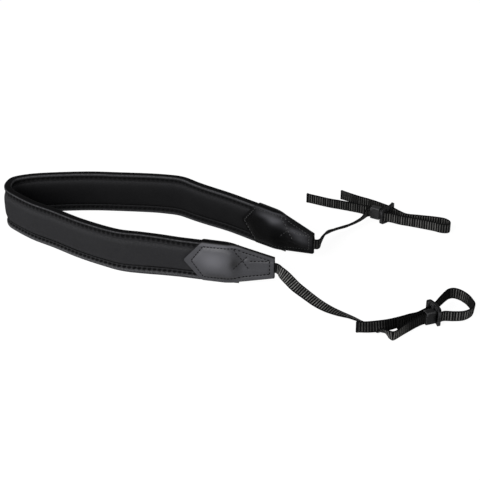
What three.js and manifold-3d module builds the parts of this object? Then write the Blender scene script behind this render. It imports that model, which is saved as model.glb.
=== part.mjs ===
// A binocular neck strap, lying as it does when it is put down. The padded neck band stands on its lower
// edge in a U, and the webbing ends lie past its open side, each with a keeper, a slide and a lug loop.
// Millimetres, +Z up. The origin is on the surface that the strap stands on, under the middle of its box.
// The neck goes inside the U and the wearer faces +X, so the left end is the one on the +Y side.
import * as THREE from "three";
import { mergeVertices } from "three/addons/utils/BufferGeometryUtils.js";
import Module from "manifold-3d";

const wasm = await Module();
wasm.setup();

// Driving dimensions.
const GAP = 0.3; // kept between touching pieces
const PAD = { width: 40.5, endWidth: 38.8, thickness: 7.2, edgeThickness: 4, taper: 70, endSquash: 0.55 };
const BINDING = { width: 6.2, thickness: 1, face: 7, corner: 0.7 };
const PATCH = { leather: 1.5, tipToCorner: 17, cornerToBend: 29.5, bendToEnd: 39.5, slope: 9 };
const PATCH_WIDTH = { tip: 2, corner: 42, bend: 40.6, end: 21.5 };
const WEBBING = { width: 10, thickness: 1.2, middle: 8.2 };
const SLIDE = { width: 22.3, height: 16.4, thickness: 3, arch: 2, rim: 2.5, slot: 3.9, bar: 2.8, corner: 2.4 };
const KEEPER = { length: 9.4, depth: 7.2, height: 12.6, wall: 0.8, corner: 1.1 };
const SLOT_HEIGHT = WEBBING.width + 0.8;
const BOX_MIDDLE = { x: 0.35, y: 0.85 }; // of the box round all the pieces, as the tables place them

// The mid-surface of the band from the left patch's end to the right one's: z is the band's middle height,
// and lean is how many degrees its upper edge tips in over the neck.
const BAND_ROUTE = [
  { x: 84.7, y: 5, z: 21.1, lean: 0 },
  { x: 55.5, y: 29.5, z: 21.1, lean: 0 },
  { x: 28, y: 51.5, z: 21.1, lean: 0 },
  { x: 4, y: 70.5, z: 21.1, lean: 0 },
  { x: -21, y: 87.5, z: 21, lean: 0 },
  { x: -32, y: 95.5, z: 21, lean: -1 },
  { x: -38, y: 100.5, z: 21, lean: -2 },
  { x: -44.5, y: 105.5, z: 20.9, lean: -3 },
  { x: -52, y: 109, z: 20.8, lean: -3.5 },
  { x: -58, y: 110.5, z: 20.8, lean: -3 },
  { x: -73, y: 113.5, z: 20.7, lean: -2.5 },
  { x: -110, y: 117, z: 20.6, lean: -2 },
  { x: -141.5, y: 119, z: 20.5, lean: -3 },
  { x: -178.5, y: 117, z: 20.5, lean: -3 },
  { x: -201.5, y: 114, z: 20.4, lean: -2 },
  { x: -217, y: 108, z: 20.3, lean: 0 },
  { x: -220, y: 102.5, z: 20.3, lean: 0 },
  { x: -221.3, y: 91.5, z: 20.3, lean: 0 },
  { x: -218, y: 81.5, z: 20.3, lean: 0 },
  { x: -207.5, y: 69.5, z: 20.3, lean: 0 },
  { x: -190, y: 53.5, z: 20.3, lean: 0 },
  { x: -168.5, y: 38.5, z: 20.3, lean: 0 },
  { x: -140, y: 17, z: 20.4, lean: 0 },
  { x: -112.5, y: 0, z: 20.6, lean: 0 },
  { x: -99, y: -6.5, z: 20.7, lean: 1 },
  { x: -80.5, y: -11, z: 20.9, lean: 3 },
  { x: -61.5, y: -15, z: 21, lean: 1 },
  { x: -42.5, y: -20, z: 21.2, lean: -2 },
  { x: -21, y: -25.5, z: 21.3, lean: -2 },
  { x: 9.5, y: -32.5, z: 21.1, lean: 0 },
  { x: 46.2, y: -40.8, z: 21.1, lean: 0 },
];

// Each end's slide is placed by its front edge and its keeper by its middle, and both face heading. The
// strap goes through them at strapTilt, and loopSlot is how far across the slide the loop's tail goes in.
const ENDS = {
  left: {
    slide: { x: 158.5, y: 82.5, heading: -40 },
    keeper: { x: 153.6, y: 94, heading: -29 },
    strapTilt: 0,
    loopSlot: 18.6,
  },
  right: {
    slide: { x: 192, y: -108.8, heading: 22 },
    keeper: { x: 182.2, y: -105, heading: 20 },
    strapTilt: 180,
    loopSlot: 17.6,
  },
};

// Webbing between the patch and the keeper: tilt turns its upper edge from upright to the left of its run.
const STRAP_RUN = {
  left: [
    { x: 85.5, y: 4.4, z: 21, tilt: 0 },
    { x: 88.2, y: 3.8, z: 21, tilt: 0 },
    { x: 90.6, y: 6.4, z: 20.8, tilt: -2 },
    { x: 92, y: 12, z: 20, tilt: -18 },
    { x: 95, y: 24, z: 17.5, tilt: -33 },
    { x: 99, y: 39, z: 14, tilt: -48 },
    { x: 104.5, y: 48, z: 11.5, tilt: -57 },
    { x: 109, y: 55, z: 9.5, tilt: -58 },
    { x: 115.5, y: 61.5, z: 8.2, tilt: -58 },
    { x: 122, y: 66.5, z: 7.5, tilt: -56 },
    { x: 129, y: 73, z: 7.2, tilt: -52 },
    { x: 136, y: 80, z: 7.5, tilt: -46 },
    { x: 140, y: 86, z: 8, tilt: -25 },
    { x: 142.6, y: 91, z: 8.2, tilt: -4 },
    { x: 144.6, y: 94.4, z: 8.2, tilt: 0 },
  ],
  right: [
    { x: 47.5, y: -41.1, z: 21, tilt: 0 },
    { x: 49.8, y: -43.4, z: 20.9, tilt: 6 },
    { x: 51.8, y: -47.5, z: 20.5, tilt: 18 },
    { x: 55.5, y: -52.5, z: 19.2, tilt: 36 },
    { x: 60, y: -58, z: 17, tilt: 50 },
    { x: 64.5, y: -63, z: 14.5, tilt: 60 },
    { x: 74, y: -71, z: 10.5, tilt: 71 },
    { x: 83.5, y: -79, z: 7, tilt: 77 },
    { x: 93, y: -86, z: 4.8, tilt: 80 },
    { x: 102.5, y: -92, z: 3, tilt: 84 },
    { x: 112.5, y: -98, z: 1.8, tilt: 91 },
    { x: 119, y: -103.5, z: 1.6, tilt: 97 },
    { x: 126, y: -109, z: 1.9, tilt: 103 },
    { x: 132, y: -114.3, z: 1.6, tilt: 100 },
    { x: 138, y: -119.5, z: 1.2, tilt: 96 },
    { x: 141.2, y: -124.5, z: 2.6, tilt: 110 },
    { x: 143.5, y: -128.8, z: 4.7, tilt: 142 },
    { x: 147, y: -131.7, z: 5.1, tilt: 162 },
    { x: 150.5, y: -129.5, z: 5.5, tilt: 172 },
    { x: 155.5, y: -124.5, z: 6, tilt: 178 },
    { x: 163.5, y: -118, z: 7, tilt: 180 },
    { x: 170, y: -113.4, z: 7.9, tilt: 180 },
  ],
};

// The strap's free end, from the keeper to its cut.
const STRAP_TAIL = {
  left: [
    { x: 144, y: 99.5 },
    { x: 136, y: 103.5 },
    { x: 118.5, y: 111 },
    { x: 108, y: 115 },
    { x: 84, y: 127.5 },
  ],
  right: [{ x: 152.5, y: -118 }],
};

// The lug loop's webbing: its free end up to the slide, then round the lug and back to the slide.
const LOOP_TAIL = {
  left: [
    { x: 120.5, y: 135 },
    { x: 138, y: 121.5 },
    { x: 151.5, y: 112.5 },
    { x: 166, y: 100.5 },
  ],
  right: [
    { x: 117, y: -121.5, tilt: 5 },
    { x: 126, y: -121.5, tilt: 14 },
    { x: 133.5, y: -120.5, tilt: 21 },
    { x: 144, y: -116, tilt: 20 },
    { x: 152, y: -112.5, tilt: 12 },
    { x: 159, y: -109.7, tilt: 6 },
    { x: 164, y: -108, tilt: 0 },
    { x: 171, y: -105.2, tilt: 0 },
    { x: 177, y: -100.5, tilt: 0 },
    { x: 181, y: -97, tilt: 0 },
  ],
};
const LUG_LOOP = {
  left: [
    { x: 173.5, y: 92.5 },
    { x: 177.5, y: 87.5 },
    { x: 183, y: 82 },
    { x: 197, y: 78.5 },
    { x: 212, y: 75 },
    { x: 221, y: 71.5 },
    { x: 225, y: 65.5 },
    { x: 223.5, y: 60 },
    { x: 217.5, y: 59.5 },
    { x: 208, y: 64.5 },
    { x: 187, y: 73.5 },
    { x: 176.5, y: 77.5 },
    { x: 167.5, y: 82.5 },
  ],
  right: [
    { x: 189.5, y: -88, tilt: 0 },
    { x: 194.5, y: -80, tilt: 2 },
    { x: 201, y: -70.5, tilt: 5 },
    { x: 205, y: -66, tilt: 7 },
    { x: 209.5, y: -64.5, tilt: 8 },
    { x: 215, y: -67.5, tilt: 8 },
    { x: 220.5, y: -75.5, tilt: 8 },
    { x: 223, y: -83.5, tilt: 8 },
    { x: 224, y: -90, tilt: 7 },
    { x: 221, y: -97, tilt: 6 },
    { x: 213, y: -103, tilt: 4 },
    { x: 204, y: -104, tilt: 2 },
    { x: 195.5, y: -103.5, tilt: 0 },
  ],
};

const FABRIC = { color: "#303033", roughness: 0.85, metalness: 0 };
const EDGE_FABRIC = { color: "#3a3a3d", roughness: 0.75, metalness: 0 };
const LEATHER = { color: "#4c4b50", roughness: 0.5, metalness: 0 };
const WEBBING_FABRIC = { color: "#222222", roughness: 0.8, metalness: 0 };
const PLASTIC = { color: "#37383a", roughness: 0.45, metalness: 0 };

const radians = THREE.MathUtils.degToRad;
const UP = new THREE.Vector3(0, 0, 1);

// Routes and stations ------------------------------------------------------------------------------------

// A smooth curve through a table's rows. station(t) gives the place, the direction and one more column.
class Route {
  constructor(rows, column) {
    this.rows = rows;
    this.column = column;
    const places = rows.map((row) => new THREE.Vector3(row.x, row.y, row.z));
    this.curve = new THREE.CatmullRomCurve3(places, false, "centripetal");
    this.curve.arcLengthDivisions = 1200;
    this.length = this.curve.getLength();
  }

  // The station at a distance along the curve: its place, its frame and the distance itself.
  station(distance) {
    const t = this.curve.getUtoTmapping(0, distance);
    const turn = radians(this.columnAt(t));
    const forward = this.curve.getTangent(t);
    const side = new THREE.Vector3().crossVectors(UP, forward).normalize();
    const upright = new THREE.Vector3().crossVectors(forward, side);
    const across = upright.clone().multiplyScalar(Math.cos(turn)).addScaledVector(side, Math.sin(turn));
    const out = new THREE.Vector3().crossVectors(forward, across);
    return { distance, place: this.curve.getPoint(t), forward, across, out };
  }

  columnAt(t) {
    const last = this.rows.length - 1;
    const before = Math.min(Math.floor(t * last), last - 1);
    const share = t * last - before;
    const value = (index) => this.rows[index][this.column] ?? 0;
    return THREE.MathUtils.lerp(value(before), value(before + 1), share);
  }

  // Stations from one distance to another, closer together where the route bends or twists.
  stations(from, to, longest, sharpest) {
    const kept = [this.station(from)];
    for (let distance = from + 0.5; distance < to - 0.5; distance += 0.5) {
      const here = this.station(distance);
      const last = kept.at(-1);
      const bend = Math.max(here.forward.angleTo(last.forward), here.across.angleTo(last.across));
      if (distance - last.distance >= longest || bend >= radians(sharpest)) kept.push(here);
    }
    kept.push(this.station(to));
    return kept;
  }
}

// Solids -------------------------------------------------------------------------------------------------

// One closed solid through a section at each station. section(station) lists [out, across] pairs, turning
// from out to across, with the same number of pairs at every station.
function loft(stations, section) {
  const outlines = stations.map(section);
  const count = outlines[0].length;
  const corners = stations.flatMap(({ place, out, across }, index) =>
    outlines[index].map(([o, a]) => place.clone().addScaledVector(out, o).addScaledVector(across, a)),
  );
  const faces = [];
  for (let ring = 0; ring < stations.length - 1; ring += 1) {
    for (let corner = 0; corner < count; corner += 1) {
      const a = ring * count + corner;
      const b = ring * count + ((corner + 1) % count);
      faces.push(a, b + count, b, a, a + count, b + count);
    }
  }
  const lastRing = (stations.length - 1) * count;
  for (const [a, b, c] of cap(outlines[0])) faces.push(a, b, c);
  for (const [a, b, c] of cap(outlines.at(-1))) faces.push(lastRing + c, lastRing + b, lastRing + a);
  const geometry = new THREE.BufferGeometry().setFromPoints(corners);
  geometry.setIndex(faces);
  return geometry;
}

// The triangles that close a section, each turning the way that the section does.
function cap(outline) {
  const points = outline.map(([o, a]) => new THREE.Vector2(o, a));
  const turnsBack = (triangle) => THREE.ShapeUtils.area(triangle.map((index) => points[index])) < 0;
  const triangles = THREE.ShapeUtils.triangulateShape(points, []);
  return triangles.map((triangle) => (turnsBack(triangle) ? triangle.toReversed() : triangle));
}

// A rectangle as a section: from low to high outwards, and half its height each way.
function rectangle(low, high, half) {
  return [
    [low, -half],
    [high, -half],
    [high, half],
    [low, half],
  ];
}

function toSolid(geometry) {
  const bare = geometry.clone();
  bare.deleteAttribute("normal");
  bare.deleteAttribute("uv");
  const merged = mergeVertices(bare, 1e-4);
  const triVerts = new Uint32Array(merged.index.array);
  const vertProperties = merged.attributes.position.array;
  return new wasm.Manifold(new wasm.Mesh({ numProp: 3, vertProperties, triVerts }));
}

function toGeometry(solid) {
  const mesh = solid.getMesh();
  const geometry = new THREE.BufferGeometry();
  geometry.setAttribute("position", new THREE.BufferAttribute(mesh.vertProperties, 3));
  geometry.setIndex(new THREE.BufferAttribute(mesh.triVerts, 1));
  return geometry;
}

function part(name, geometry, finish) {
  const whole = geometry.index ? geometry.toNonIndexed() : geometry;
  whole.computeVertexNormals();
  const mesh = new THREE.Mesh(whole, new THREE.MeshStandardMaterial(finish));
  mesh.name = name;
  return mesh;
}

// The neck band ------------------------------------------------------------------------------------------

const band = new Route(BAND_ROUTE, "lean");
const PATCH_LENGTH = PATCH.tipToCorner + PATCH.cornerToBend + PATCH.bendToEnd;
const BAND_STEP = { longest: 9, sharpest: 9 };
const PATCH_STEP = { longest: 3.5, sharpest: 9 };
const padStart = PATCH.bendToEnd;
const padEnd = band.length - PATCH.bendToEnd;
const SQUASH_LENGTH = 12;

// How much of its full thickness the pad has: it is squashed where its ends are sewn in.
function padding(distance) {
  const inside = Math.min(distance - padStart, padEnd - distance);
  const rise = THREE.MathUtils.smoothstep(inside, 0, SQUASH_LENGTH);
  return THREE.MathUtils.lerp(PAD.endSquash, 1, rise);
}

// The pad's half width, a little less at its ends than round the neck.
function padHalfWidth(distance) {
  const inside = Math.min(distance - padStart, padEnd - distance) - (PATCH_LENGTH - PATCH.bendToEnd);
  const widening = THREE.MathUtils.smoothstep(inside, 0, PAD.taper);
  return THREE.MathUtils.lerp(PAD.endWidth, PAD.width, widening) / 2;
}

function mirrored(outline) {
  const other = outline.map(([o, a]) => [-o, -a]);
  return [...outline, ...other];
}

// The padded panel, stepped down at both edges for the bindings.
function padSection({ distance }) {
  const full = (PAD.thickness / 2) * padding(distance);
  const edge = (PAD.edgeThickness / 2) * padding(distance);
  const top = padHalfWidth(distance) - BINDING.thickness - GAP;
  const step = padHalfWidth(distance) - BINDING.width;
  return mirrored([
    [edge, GAP - step],
    [full, 1.4 - step],
    [full, step - 1.4],
    [edge, step - GAP],
    [edge, top],
    [-edge, top],
  ]);
}

// A binding folded over one edge: side is 1 for the upper edge and -1 for the lower one.
function bindingSection(side) {
  return ({ distance }) => {
    const inner = (PAD.edgeThickness / 2) * padding(distance) + GAP;
    const outer = (BINDING.face / 2) * padding(distance);
    const edge = padHalfWidth(distance);
    const foot = edge - BINDING.width;
    const outline = [
      [outer, foot],
      [outer, edge - BINDING.corner],
      [outer - BINDING.corner, edge],
      [-outer + BINDING.corner, edge],
      [-outer, edge - BINDING.corner],
      [-outer, foot],
      [-inner, foot],
      [-inner, edge - BINDING.thickness],
      [inner, edge - BINDING.thickness],
      [inner, foot],
    ];
    return side > 0 ? outline : outline.map(([o, a]) => [-o, -a]);
  };
}

const padStations = band.stations(padStart, padEnd, BAND_STEP.longest, BAND_STEP.sharpest);

// The leather end patches --------------------------------------------------------------------------------

// A patch's half height at a distance from the band's end: a point, a long body and a tapered end.
function patchHalfHeight(fromEnd) {
  const marks = [
    { at: 0, width: PATCH_WIDTH.end },
    { at: PATCH.bendToEnd, width: PATCH_WIDTH.bend },
    { at: PATCH.bendToEnd + PATCH.cornerToBend, width: PATCH_WIDTH.corner },
    { at: PATCH_LENGTH, width: PATCH_WIDTH.tip },
  ];
  const next = Math.max(1, marks.findIndex((mark) => mark.at >= fromEnd - 1e-6));
  const [low, high] = [marks[next - 1], marks[next]];
  const share = (fromEnd - low.at) / (high.at - low.at);
  return THREE.MathUtils.lerp(low.width, high.width, share) / 2;
}

// How far the leather stands from the mid-surface: over the pad, then down onto the sewn-in webbing.
function leatherStand(distance) {
  const onPad = (PAD.thickness / 2) * padding(distance) + 0.5;
  const onWebbing = WEBBING.thickness / 2 + 0.4;
  const pastPad = Math.max(padStart - distance, distance - padEnd);
  return THREE.MathUtils.lerp(onPad, onWebbing, THREE.MathUtils.smoothstep(pastPad, 0, PATCH.slope));
}

function patch(end, face) {
  const [from, to] = end === "left" ? [0, PATCH_LENGTH] : [band.length - PATCH_LENGTH, band.length];
  const stations = band.stations(from, to, PATCH_STEP.longest, PATCH_STEP.sharpest);
  return loft(stations, ({ distance }) => {
    const fromEnd = end === "left" ? distance : band.length - distance;
    const stand = leatherStand(distance);
    const half = patchHalfHeight(fromEnd);
    const [low, high] = [stand, stand + PATCH.leather];
    return face === "outer" ? rectangle(low, high, half) : rectangle(-high, -low, half);
  });
}

// The slides and keepers ---------------------------------------------------------------------------------

// A place beside a slide or keeper: along its heading and across it, at the height of its webbing.
function beside({ x, y, heading }, along, across) {
  const turn = radians(heading);
  return {
    x: x + along * Math.cos(turn) - across * Math.sin(turn),
    y: y + along * Math.sin(turn) + across * Math.cos(turn),
    z: WEBBING.middle,
  };
}

function placed(geometry, { x, y, heading }) {
  return geometry.rotateZ(radians(heading)).translate(x, y, 0);
}

// An arched plate with three upright slots between two rims and two bars.
function slide(place) {
  const rounding = [0, 0.3, 1.1, SLIDE.corner];
  const middle = SLIDE.width / 2;
  const spread = 6;
  const inner = Array.from({ length: spread + 1 }, (_, step) =>
    THREE.MathUtils.lerp(SLIDE.corner, SLIDE.width - SLIDE.corner, step / spread),
  );
  const near = rounding.slice(0, -1);
  const marks = [...near, ...inner, ...near.toReversed().map((mark) => SLIDE.width - mark)];
  const stations = marks.map((mark) => ({
    mark,
    place: new THREE.Vector3(SLIDE.arch * (1 - ((mark - middle) / middle) ** 2), mark, SLIDE.height / 2),
    out: new THREE.Vector3(1, 0, 0),
    across: UP,
  }));
  const plate = loft(stations, ({ mark }) => {
    const short = Math.max(0, SLIDE.corner - Math.min(mark, SLIDE.width - mark));
    const cut = SLIDE.corner - Math.sqrt(SLIDE.corner ** 2 - short ** 2);
    return rectangle(-SLIDE.thickness, 0, SLIDE.height / 2 - cut);
  });
  let solid = toSolid(plate);
  for (let slot = 0; slot < 3; slot += 1) {
    const from = SLIDE.rim + slot * (SLIDE.slot + SLIDE.bar);
    const opening = new THREE.BoxGeometry(20, SLIDE.slot, SLOT_HEIGHT);
    opening.translate(0, from + SLIDE.slot / 2, WEBBING.middle);
    solid = solid.subtract(toSolid(opening));
  }
  return placed(toGeometry(solid), place);
}

function roundedRectangle(path, width, height, corner) {
  const [x, y] = [width / 2, height / 2];
  path.moveTo(-x + corner, -y);
  path.lineTo(x - corner, -y);
  path.absarc(x - corner, -y + corner, corner, -Math.PI / 2, 0);
  path.absarc(x - corner, y - corner, corner, 0, Math.PI / 2);
  path.absarc(-x + corner, y - corner, corner, Math.PI / 2, Math.PI);
  path.absarc(-x + corner, -y + corner, corner, Math.PI, 1.5 * Math.PI);
  return path;
}

// A rectangular sleeve round the webbing.
function keeper(place) {
  const outline = roundedRectangle(new THREE.Shape(), KEEPER.depth, KEEPER.height, KEEPER.corner);
  const [depth, height] = [KEEPER.depth - 2 * KEEPER.wall, KEEPER.height - 2 * KEEPER.wall];
  outline.holes.push(roundedRectangle(new THREE.Path(), depth, height, 0.2));
  const sleeve = new THREE.ExtrudeGeometry(outline, {
    depth: KEEPER.length,
    bevelEnabled: false,
    curveSegments: 3,
  });
  sleeve.translate(0, 0, -KEEPER.length / 2);
  sleeve.rotateX(Math.PI / 2).rotateZ(Math.PI / 2); // the sleeve's own length now runs along its heading
  return placed(sleeve.translate(0, 0, WEBBING.middle), place);
}

// The webbing --------------------------------------------------------------------------------------------

// Where the webbing passes the slide: slots are measured across it from its front edge.
const STRAP_SLOT = 5.4;
const RETURN_SLOT = 10.2;
const LOOP_FRONT_SLOT = 3.4;
const WRAP = { along: 2.7, crown: 3.1, clear: 0.4 };
const IN_KEEPER = KEEPER.depth / 2 - KEEPER.wall - WEBBING.thickness / 2 - 0.35;
const KEEPER_ENTRY = KEEPER.length / 2 + 1.8;
const KEEPER_EXIT = KEEPER.length / 2 + 0.6;

function level(rows, tilt = 0) {
  return rows.map((row) => ({ tilt, z: WEBBING.middle, ...row }));
}

function ribbon(rows) {
  const route = new Route(rows, "tilt");
  const stations = route.stations(0, route.length, 9, 16);
  const half = WEBBING.thickness / 2;
  return loft(stations, () => rectangle(-half, half, WEBBING.width / 2));
}

// The strap: sewn into the patch, through the keeper, round the slide's first bar and back to its tail.
function strap(end) {
  const places = ENDS[end];
  const sewnIn = [37.5, 28, 19, 10, 2, 0].map((fromEnd) => {
    const { place } = band.station(end === "left" ? fromEnd : band.length - fromEnd);
    return { x: place.x, y: place.y, z: place.z, tilt: 0 };
  });
  const half = (STRAP_SLOT + RETURN_SLOT) / 2;
  const round = [
    beside(places.keeper, -KEEPER_ENTRY, -IN_KEEPER),
    beside(places.keeper, KEEPER_EXIT, -IN_KEEPER),
    beside(places.slide, -1.2, STRAP_SLOT),
    beside(places.slide, 1.2, STRAP_SLOT),
    beside(places.slide, WRAP.along, STRAP_SLOT + WRAP.clear),
    beside(places.slide, WRAP.crown, half),
    beside(places.slide, WRAP.along, RETURN_SLOT - WRAP.clear),
    beside(places.slide, 1.2, RETURN_SLOT),
    beside(places.slide, -1.2, RETURN_SLOT),
    beside(places.keeper, KEEPER_EXIT, IN_KEEPER),
    beside(places.keeper, -KEEPER_ENTRY, IN_KEEPER),
  ];
  const threaded = level([...round, ...STRAP_TAIL[end]], places.strapTilt);
  return ribbon([...sewnIn, ...STRAP_RUN[end], ...threaded]);
}

// The lug loop: its tail behind the keeper, through the last slot, round the lug and into the first slot.
function lugLoop(end) {
  const { slide: place, loopSlot } = ENDS[end];
  const back = beside(place, 0, loopSlot);
  const front = [beside(place, 1, LOOP_FRONT_SLOT), beside(place, -1.8, LOOP_FRONT_SLOT)];
  return ribbon(level([...LOOP_TAIL[end], back, ...LUG_LOOP[end], ...front]));
}

// The strap as one group of named pieces -----------------------------------------------------------------

const binocularStrap = new THREE.Group();
binocularStrap.position.set(-BOX_MIDDLE.x, -BOX_MIDDLE.y, 0);
binocularStrap.add(
  part("neck_pad", loft(padStations, padSection), FABRIC),
  part("edge_binding_top", loft(padStations, bindingSection(1)), EDGE_FABRIC),
  part("edge_binding_bottom", loft(padStations, bindingSection(-1)), EDGE_FABRIC),
);
for (const end of ["left", "right"]) {
  binocularStrap.add(
    part(`end_patch_outer_${end}`, patch(end, "outer"), LEATHER),
    part(`end_patch_inner_${end}`, patch(end, "inner"), LEATHER),
    part(`webbing_strap_${end}`, strap(end), WEBBING_FABRIC),
    part(`webbing_loop_${end}`, lugLoop(end), WEBBING_FABRIC),
    part(`keeper_${end}`, keeper(ENDS[end].keeper), PLASTIC),
    part(`slide_buckle_${end}`, slide(ENDS[end].slide), PLASTIC),
  );
}

export default binocularStrap;
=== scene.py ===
"""The looks of a binocular neck strap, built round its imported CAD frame.

The padded neck band stands on its lower edge in a U. A pair of leather patches closes each end of it and
holds a webbing strap, and each strap goes through a keeper and a slide that carries a lug loop. Every
table and size is in millimetres, in the frame of the CAD source, and meshes are made in metres.
"""

import logging
import math
from dataclasses import dataclass, field
from enum import Enum
from typing import Callable, ClassVar, Iterable, NamedTuple, Sequence, TypeAlias

import bmesh
import bpy
import numpy as np
from mathutils import Matrix, Vector


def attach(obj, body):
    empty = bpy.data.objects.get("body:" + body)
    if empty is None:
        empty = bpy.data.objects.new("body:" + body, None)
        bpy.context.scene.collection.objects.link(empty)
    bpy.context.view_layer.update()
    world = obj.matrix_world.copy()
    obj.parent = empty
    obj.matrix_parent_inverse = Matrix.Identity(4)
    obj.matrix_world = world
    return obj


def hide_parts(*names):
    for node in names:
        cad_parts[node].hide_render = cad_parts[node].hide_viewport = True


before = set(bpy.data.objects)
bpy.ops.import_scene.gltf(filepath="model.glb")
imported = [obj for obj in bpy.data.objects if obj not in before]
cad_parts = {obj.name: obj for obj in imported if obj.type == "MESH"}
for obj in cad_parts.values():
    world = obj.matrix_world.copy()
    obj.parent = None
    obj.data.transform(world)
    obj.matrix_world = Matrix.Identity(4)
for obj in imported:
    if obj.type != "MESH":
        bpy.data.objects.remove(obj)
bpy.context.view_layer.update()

LOG = logging.getLogger("binocular_strap")
MM = 0.001
BODY = "root"
BOX_MIDDLE = np.array([0.35, 0.85, 0.0])  # of the box round all the pieces, as the tables place them
WEBBING_MIDDLE = 8.2  # the height of the middle of webbing that stands on edge in its keeper and slide

Array: TypeAlias = np.ndarray
Piece: TypeAlias = bpy.types.Object
Socket: TypeAlias = bpy.types.NodeSocket
Sockets: TypeAlias = bpy.types.bpy_prop_collection
Feed: TypeAlias = float | int | str | tuple | list | Socket | bpy.types.Material | None
Tone: TypeAlias = tuple[float, float, float]
Paint: TypeAlias = tuple[Socket, Socket, Socket]
Line: TypeAlias = list[tuple[float, float]]
Masks: TypeAlias = dict[str, Array]


class Named(Enum):
    """Options that pieces are named for."""

    @property
    def label(self) -> str:
        """The option as it stands in a piece's name."""
        return self.name.lower()


class End(Named):
    """The two ends of the strap, by the wearer's side."""

    LEFT = 1
    RIGHT = -1


class Face(Named):
    """The two faces of the band: away from the neck, and against it."""

    OUTER = 1
    INNER = -1


class Edge(Named):
    """The two long edges of the band as it stands."""

    TOP = 1
    BOTTOM = -1


class Knot(NamedTuple):
    """One row of a route's table: a place, and the turn of what lies there in degrees."""

    x: float
    y: float
    z: float = WEBBING_MIDDLE
    turn: float = 0.0


def knots(*rows: tuple[float, ...]) -> list[Knot]:
    """The knots of a route, from rows of x, y, height and turn."""
    return [Knot(*row) for row in rows]


# The mid-surface of the band from the left patch's end to the right one's: x, y, middle height, lean.
BAND_ROUTE = knots(
    (84.7, 5, 21.1), (55.5, 29.5, 21.1), (28, 51.5, 21.1), (4, 70.5, 21.1), (-21, 87.5, 21),
    (-32, 95.5, 21, -1), (-38, 100.5, 21, -2), (-44.5, 105.5, 20.9, -3), (-52, 109, 20.8, -3.5),
    (-58, 110.5, 20.8, -3), (-73, 113.5, 20.7, -2.5), (-110, 117, 20.6, -2), (-141.5, 119, 20.5, -3),
    (-178.5, 117, 20.5, -3),
    (-201.5, 114, 20.4, -2), (-217, 108, 20.3), (-220, 102.5, 20.3), (-221.3, 91.5, 20.3), (-218, 81.5, 20.3),
    (-207.5, 69.5, 20.3), (-190, 53.5, 20.3), (-168.5, 38.5, 20.3), (-140, 17, 20.4), (-112.5, 0, 20.6),
    (-99, -6.5, 20.7, 1), (-80.5, -11, 20.9, 3), (-61.5, -15, 21, 1), (-42.5, -20, 21.2, -2),
    (-21, -25.5, 21.3, -2), (9.5, -32.5, 21.1), (46.2, -40.8, 21.1),
)


@dataclass(frozen=True)
class Spot:
    """Where a slide or keeper stands: a place on the surface and the heading that it faces, in degrees."""

    x: float
    y: float
    heading: float

    def beside(self, along: float, across: float, turn: float = 0.0) -> Knot:
        """A knot beside the spot.

        Args:
            along: how far it is along the spot's heading.
            across: how far it is to the left of that.
            turn: the turn of what lies there, in degrees.

        Returns:
            The knot, at the webbing's usual height.
        """
        angle = math.radians(self.heading)
        return Knot(
            self.x + along * math.cos(angle) - across * math.sin(angle),
            self.y + along * math.sin(angle) + across * math.cos(angle),
            turn=turn,
        )

    def matrix(self) -> Matrix:
        """The place of a mesh made round the origin in metres, for this spot."""
        shift = (np.array([self.x, self.y, 0.0]) - BOX_MIDDLE) * MM
        return Matrix.Translation(Vector(shift)) @ Matrix.Rotation(math.radians(self.heading), 4, "Z")


@dataclass(frozen=True)
class EndTables:
    """The routes of one end's webbing, and where its slide and keeper stand.

    run goes from the patch to the keeper, tail is the strap's free end, loop_tail is the lug loop's
    free end up to the slide, and loop goes round the lug and back to the slide. The light and shade tables
    say how light the ribs are, from 0 to 1, at distances along the strap and along the loop: painted light
    and painted shade, where the webbing is lit or in shadow.
    """

    slide: Spot
    keeper: Spot
    strap_turn: float
    loop_slot: float
    run: list[Knot]
    tail: list[Knot]
    loop_tail: list[Knot]
    loop: list[Knot]
    strap_wear: Line
    loop_wear: Line


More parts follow.
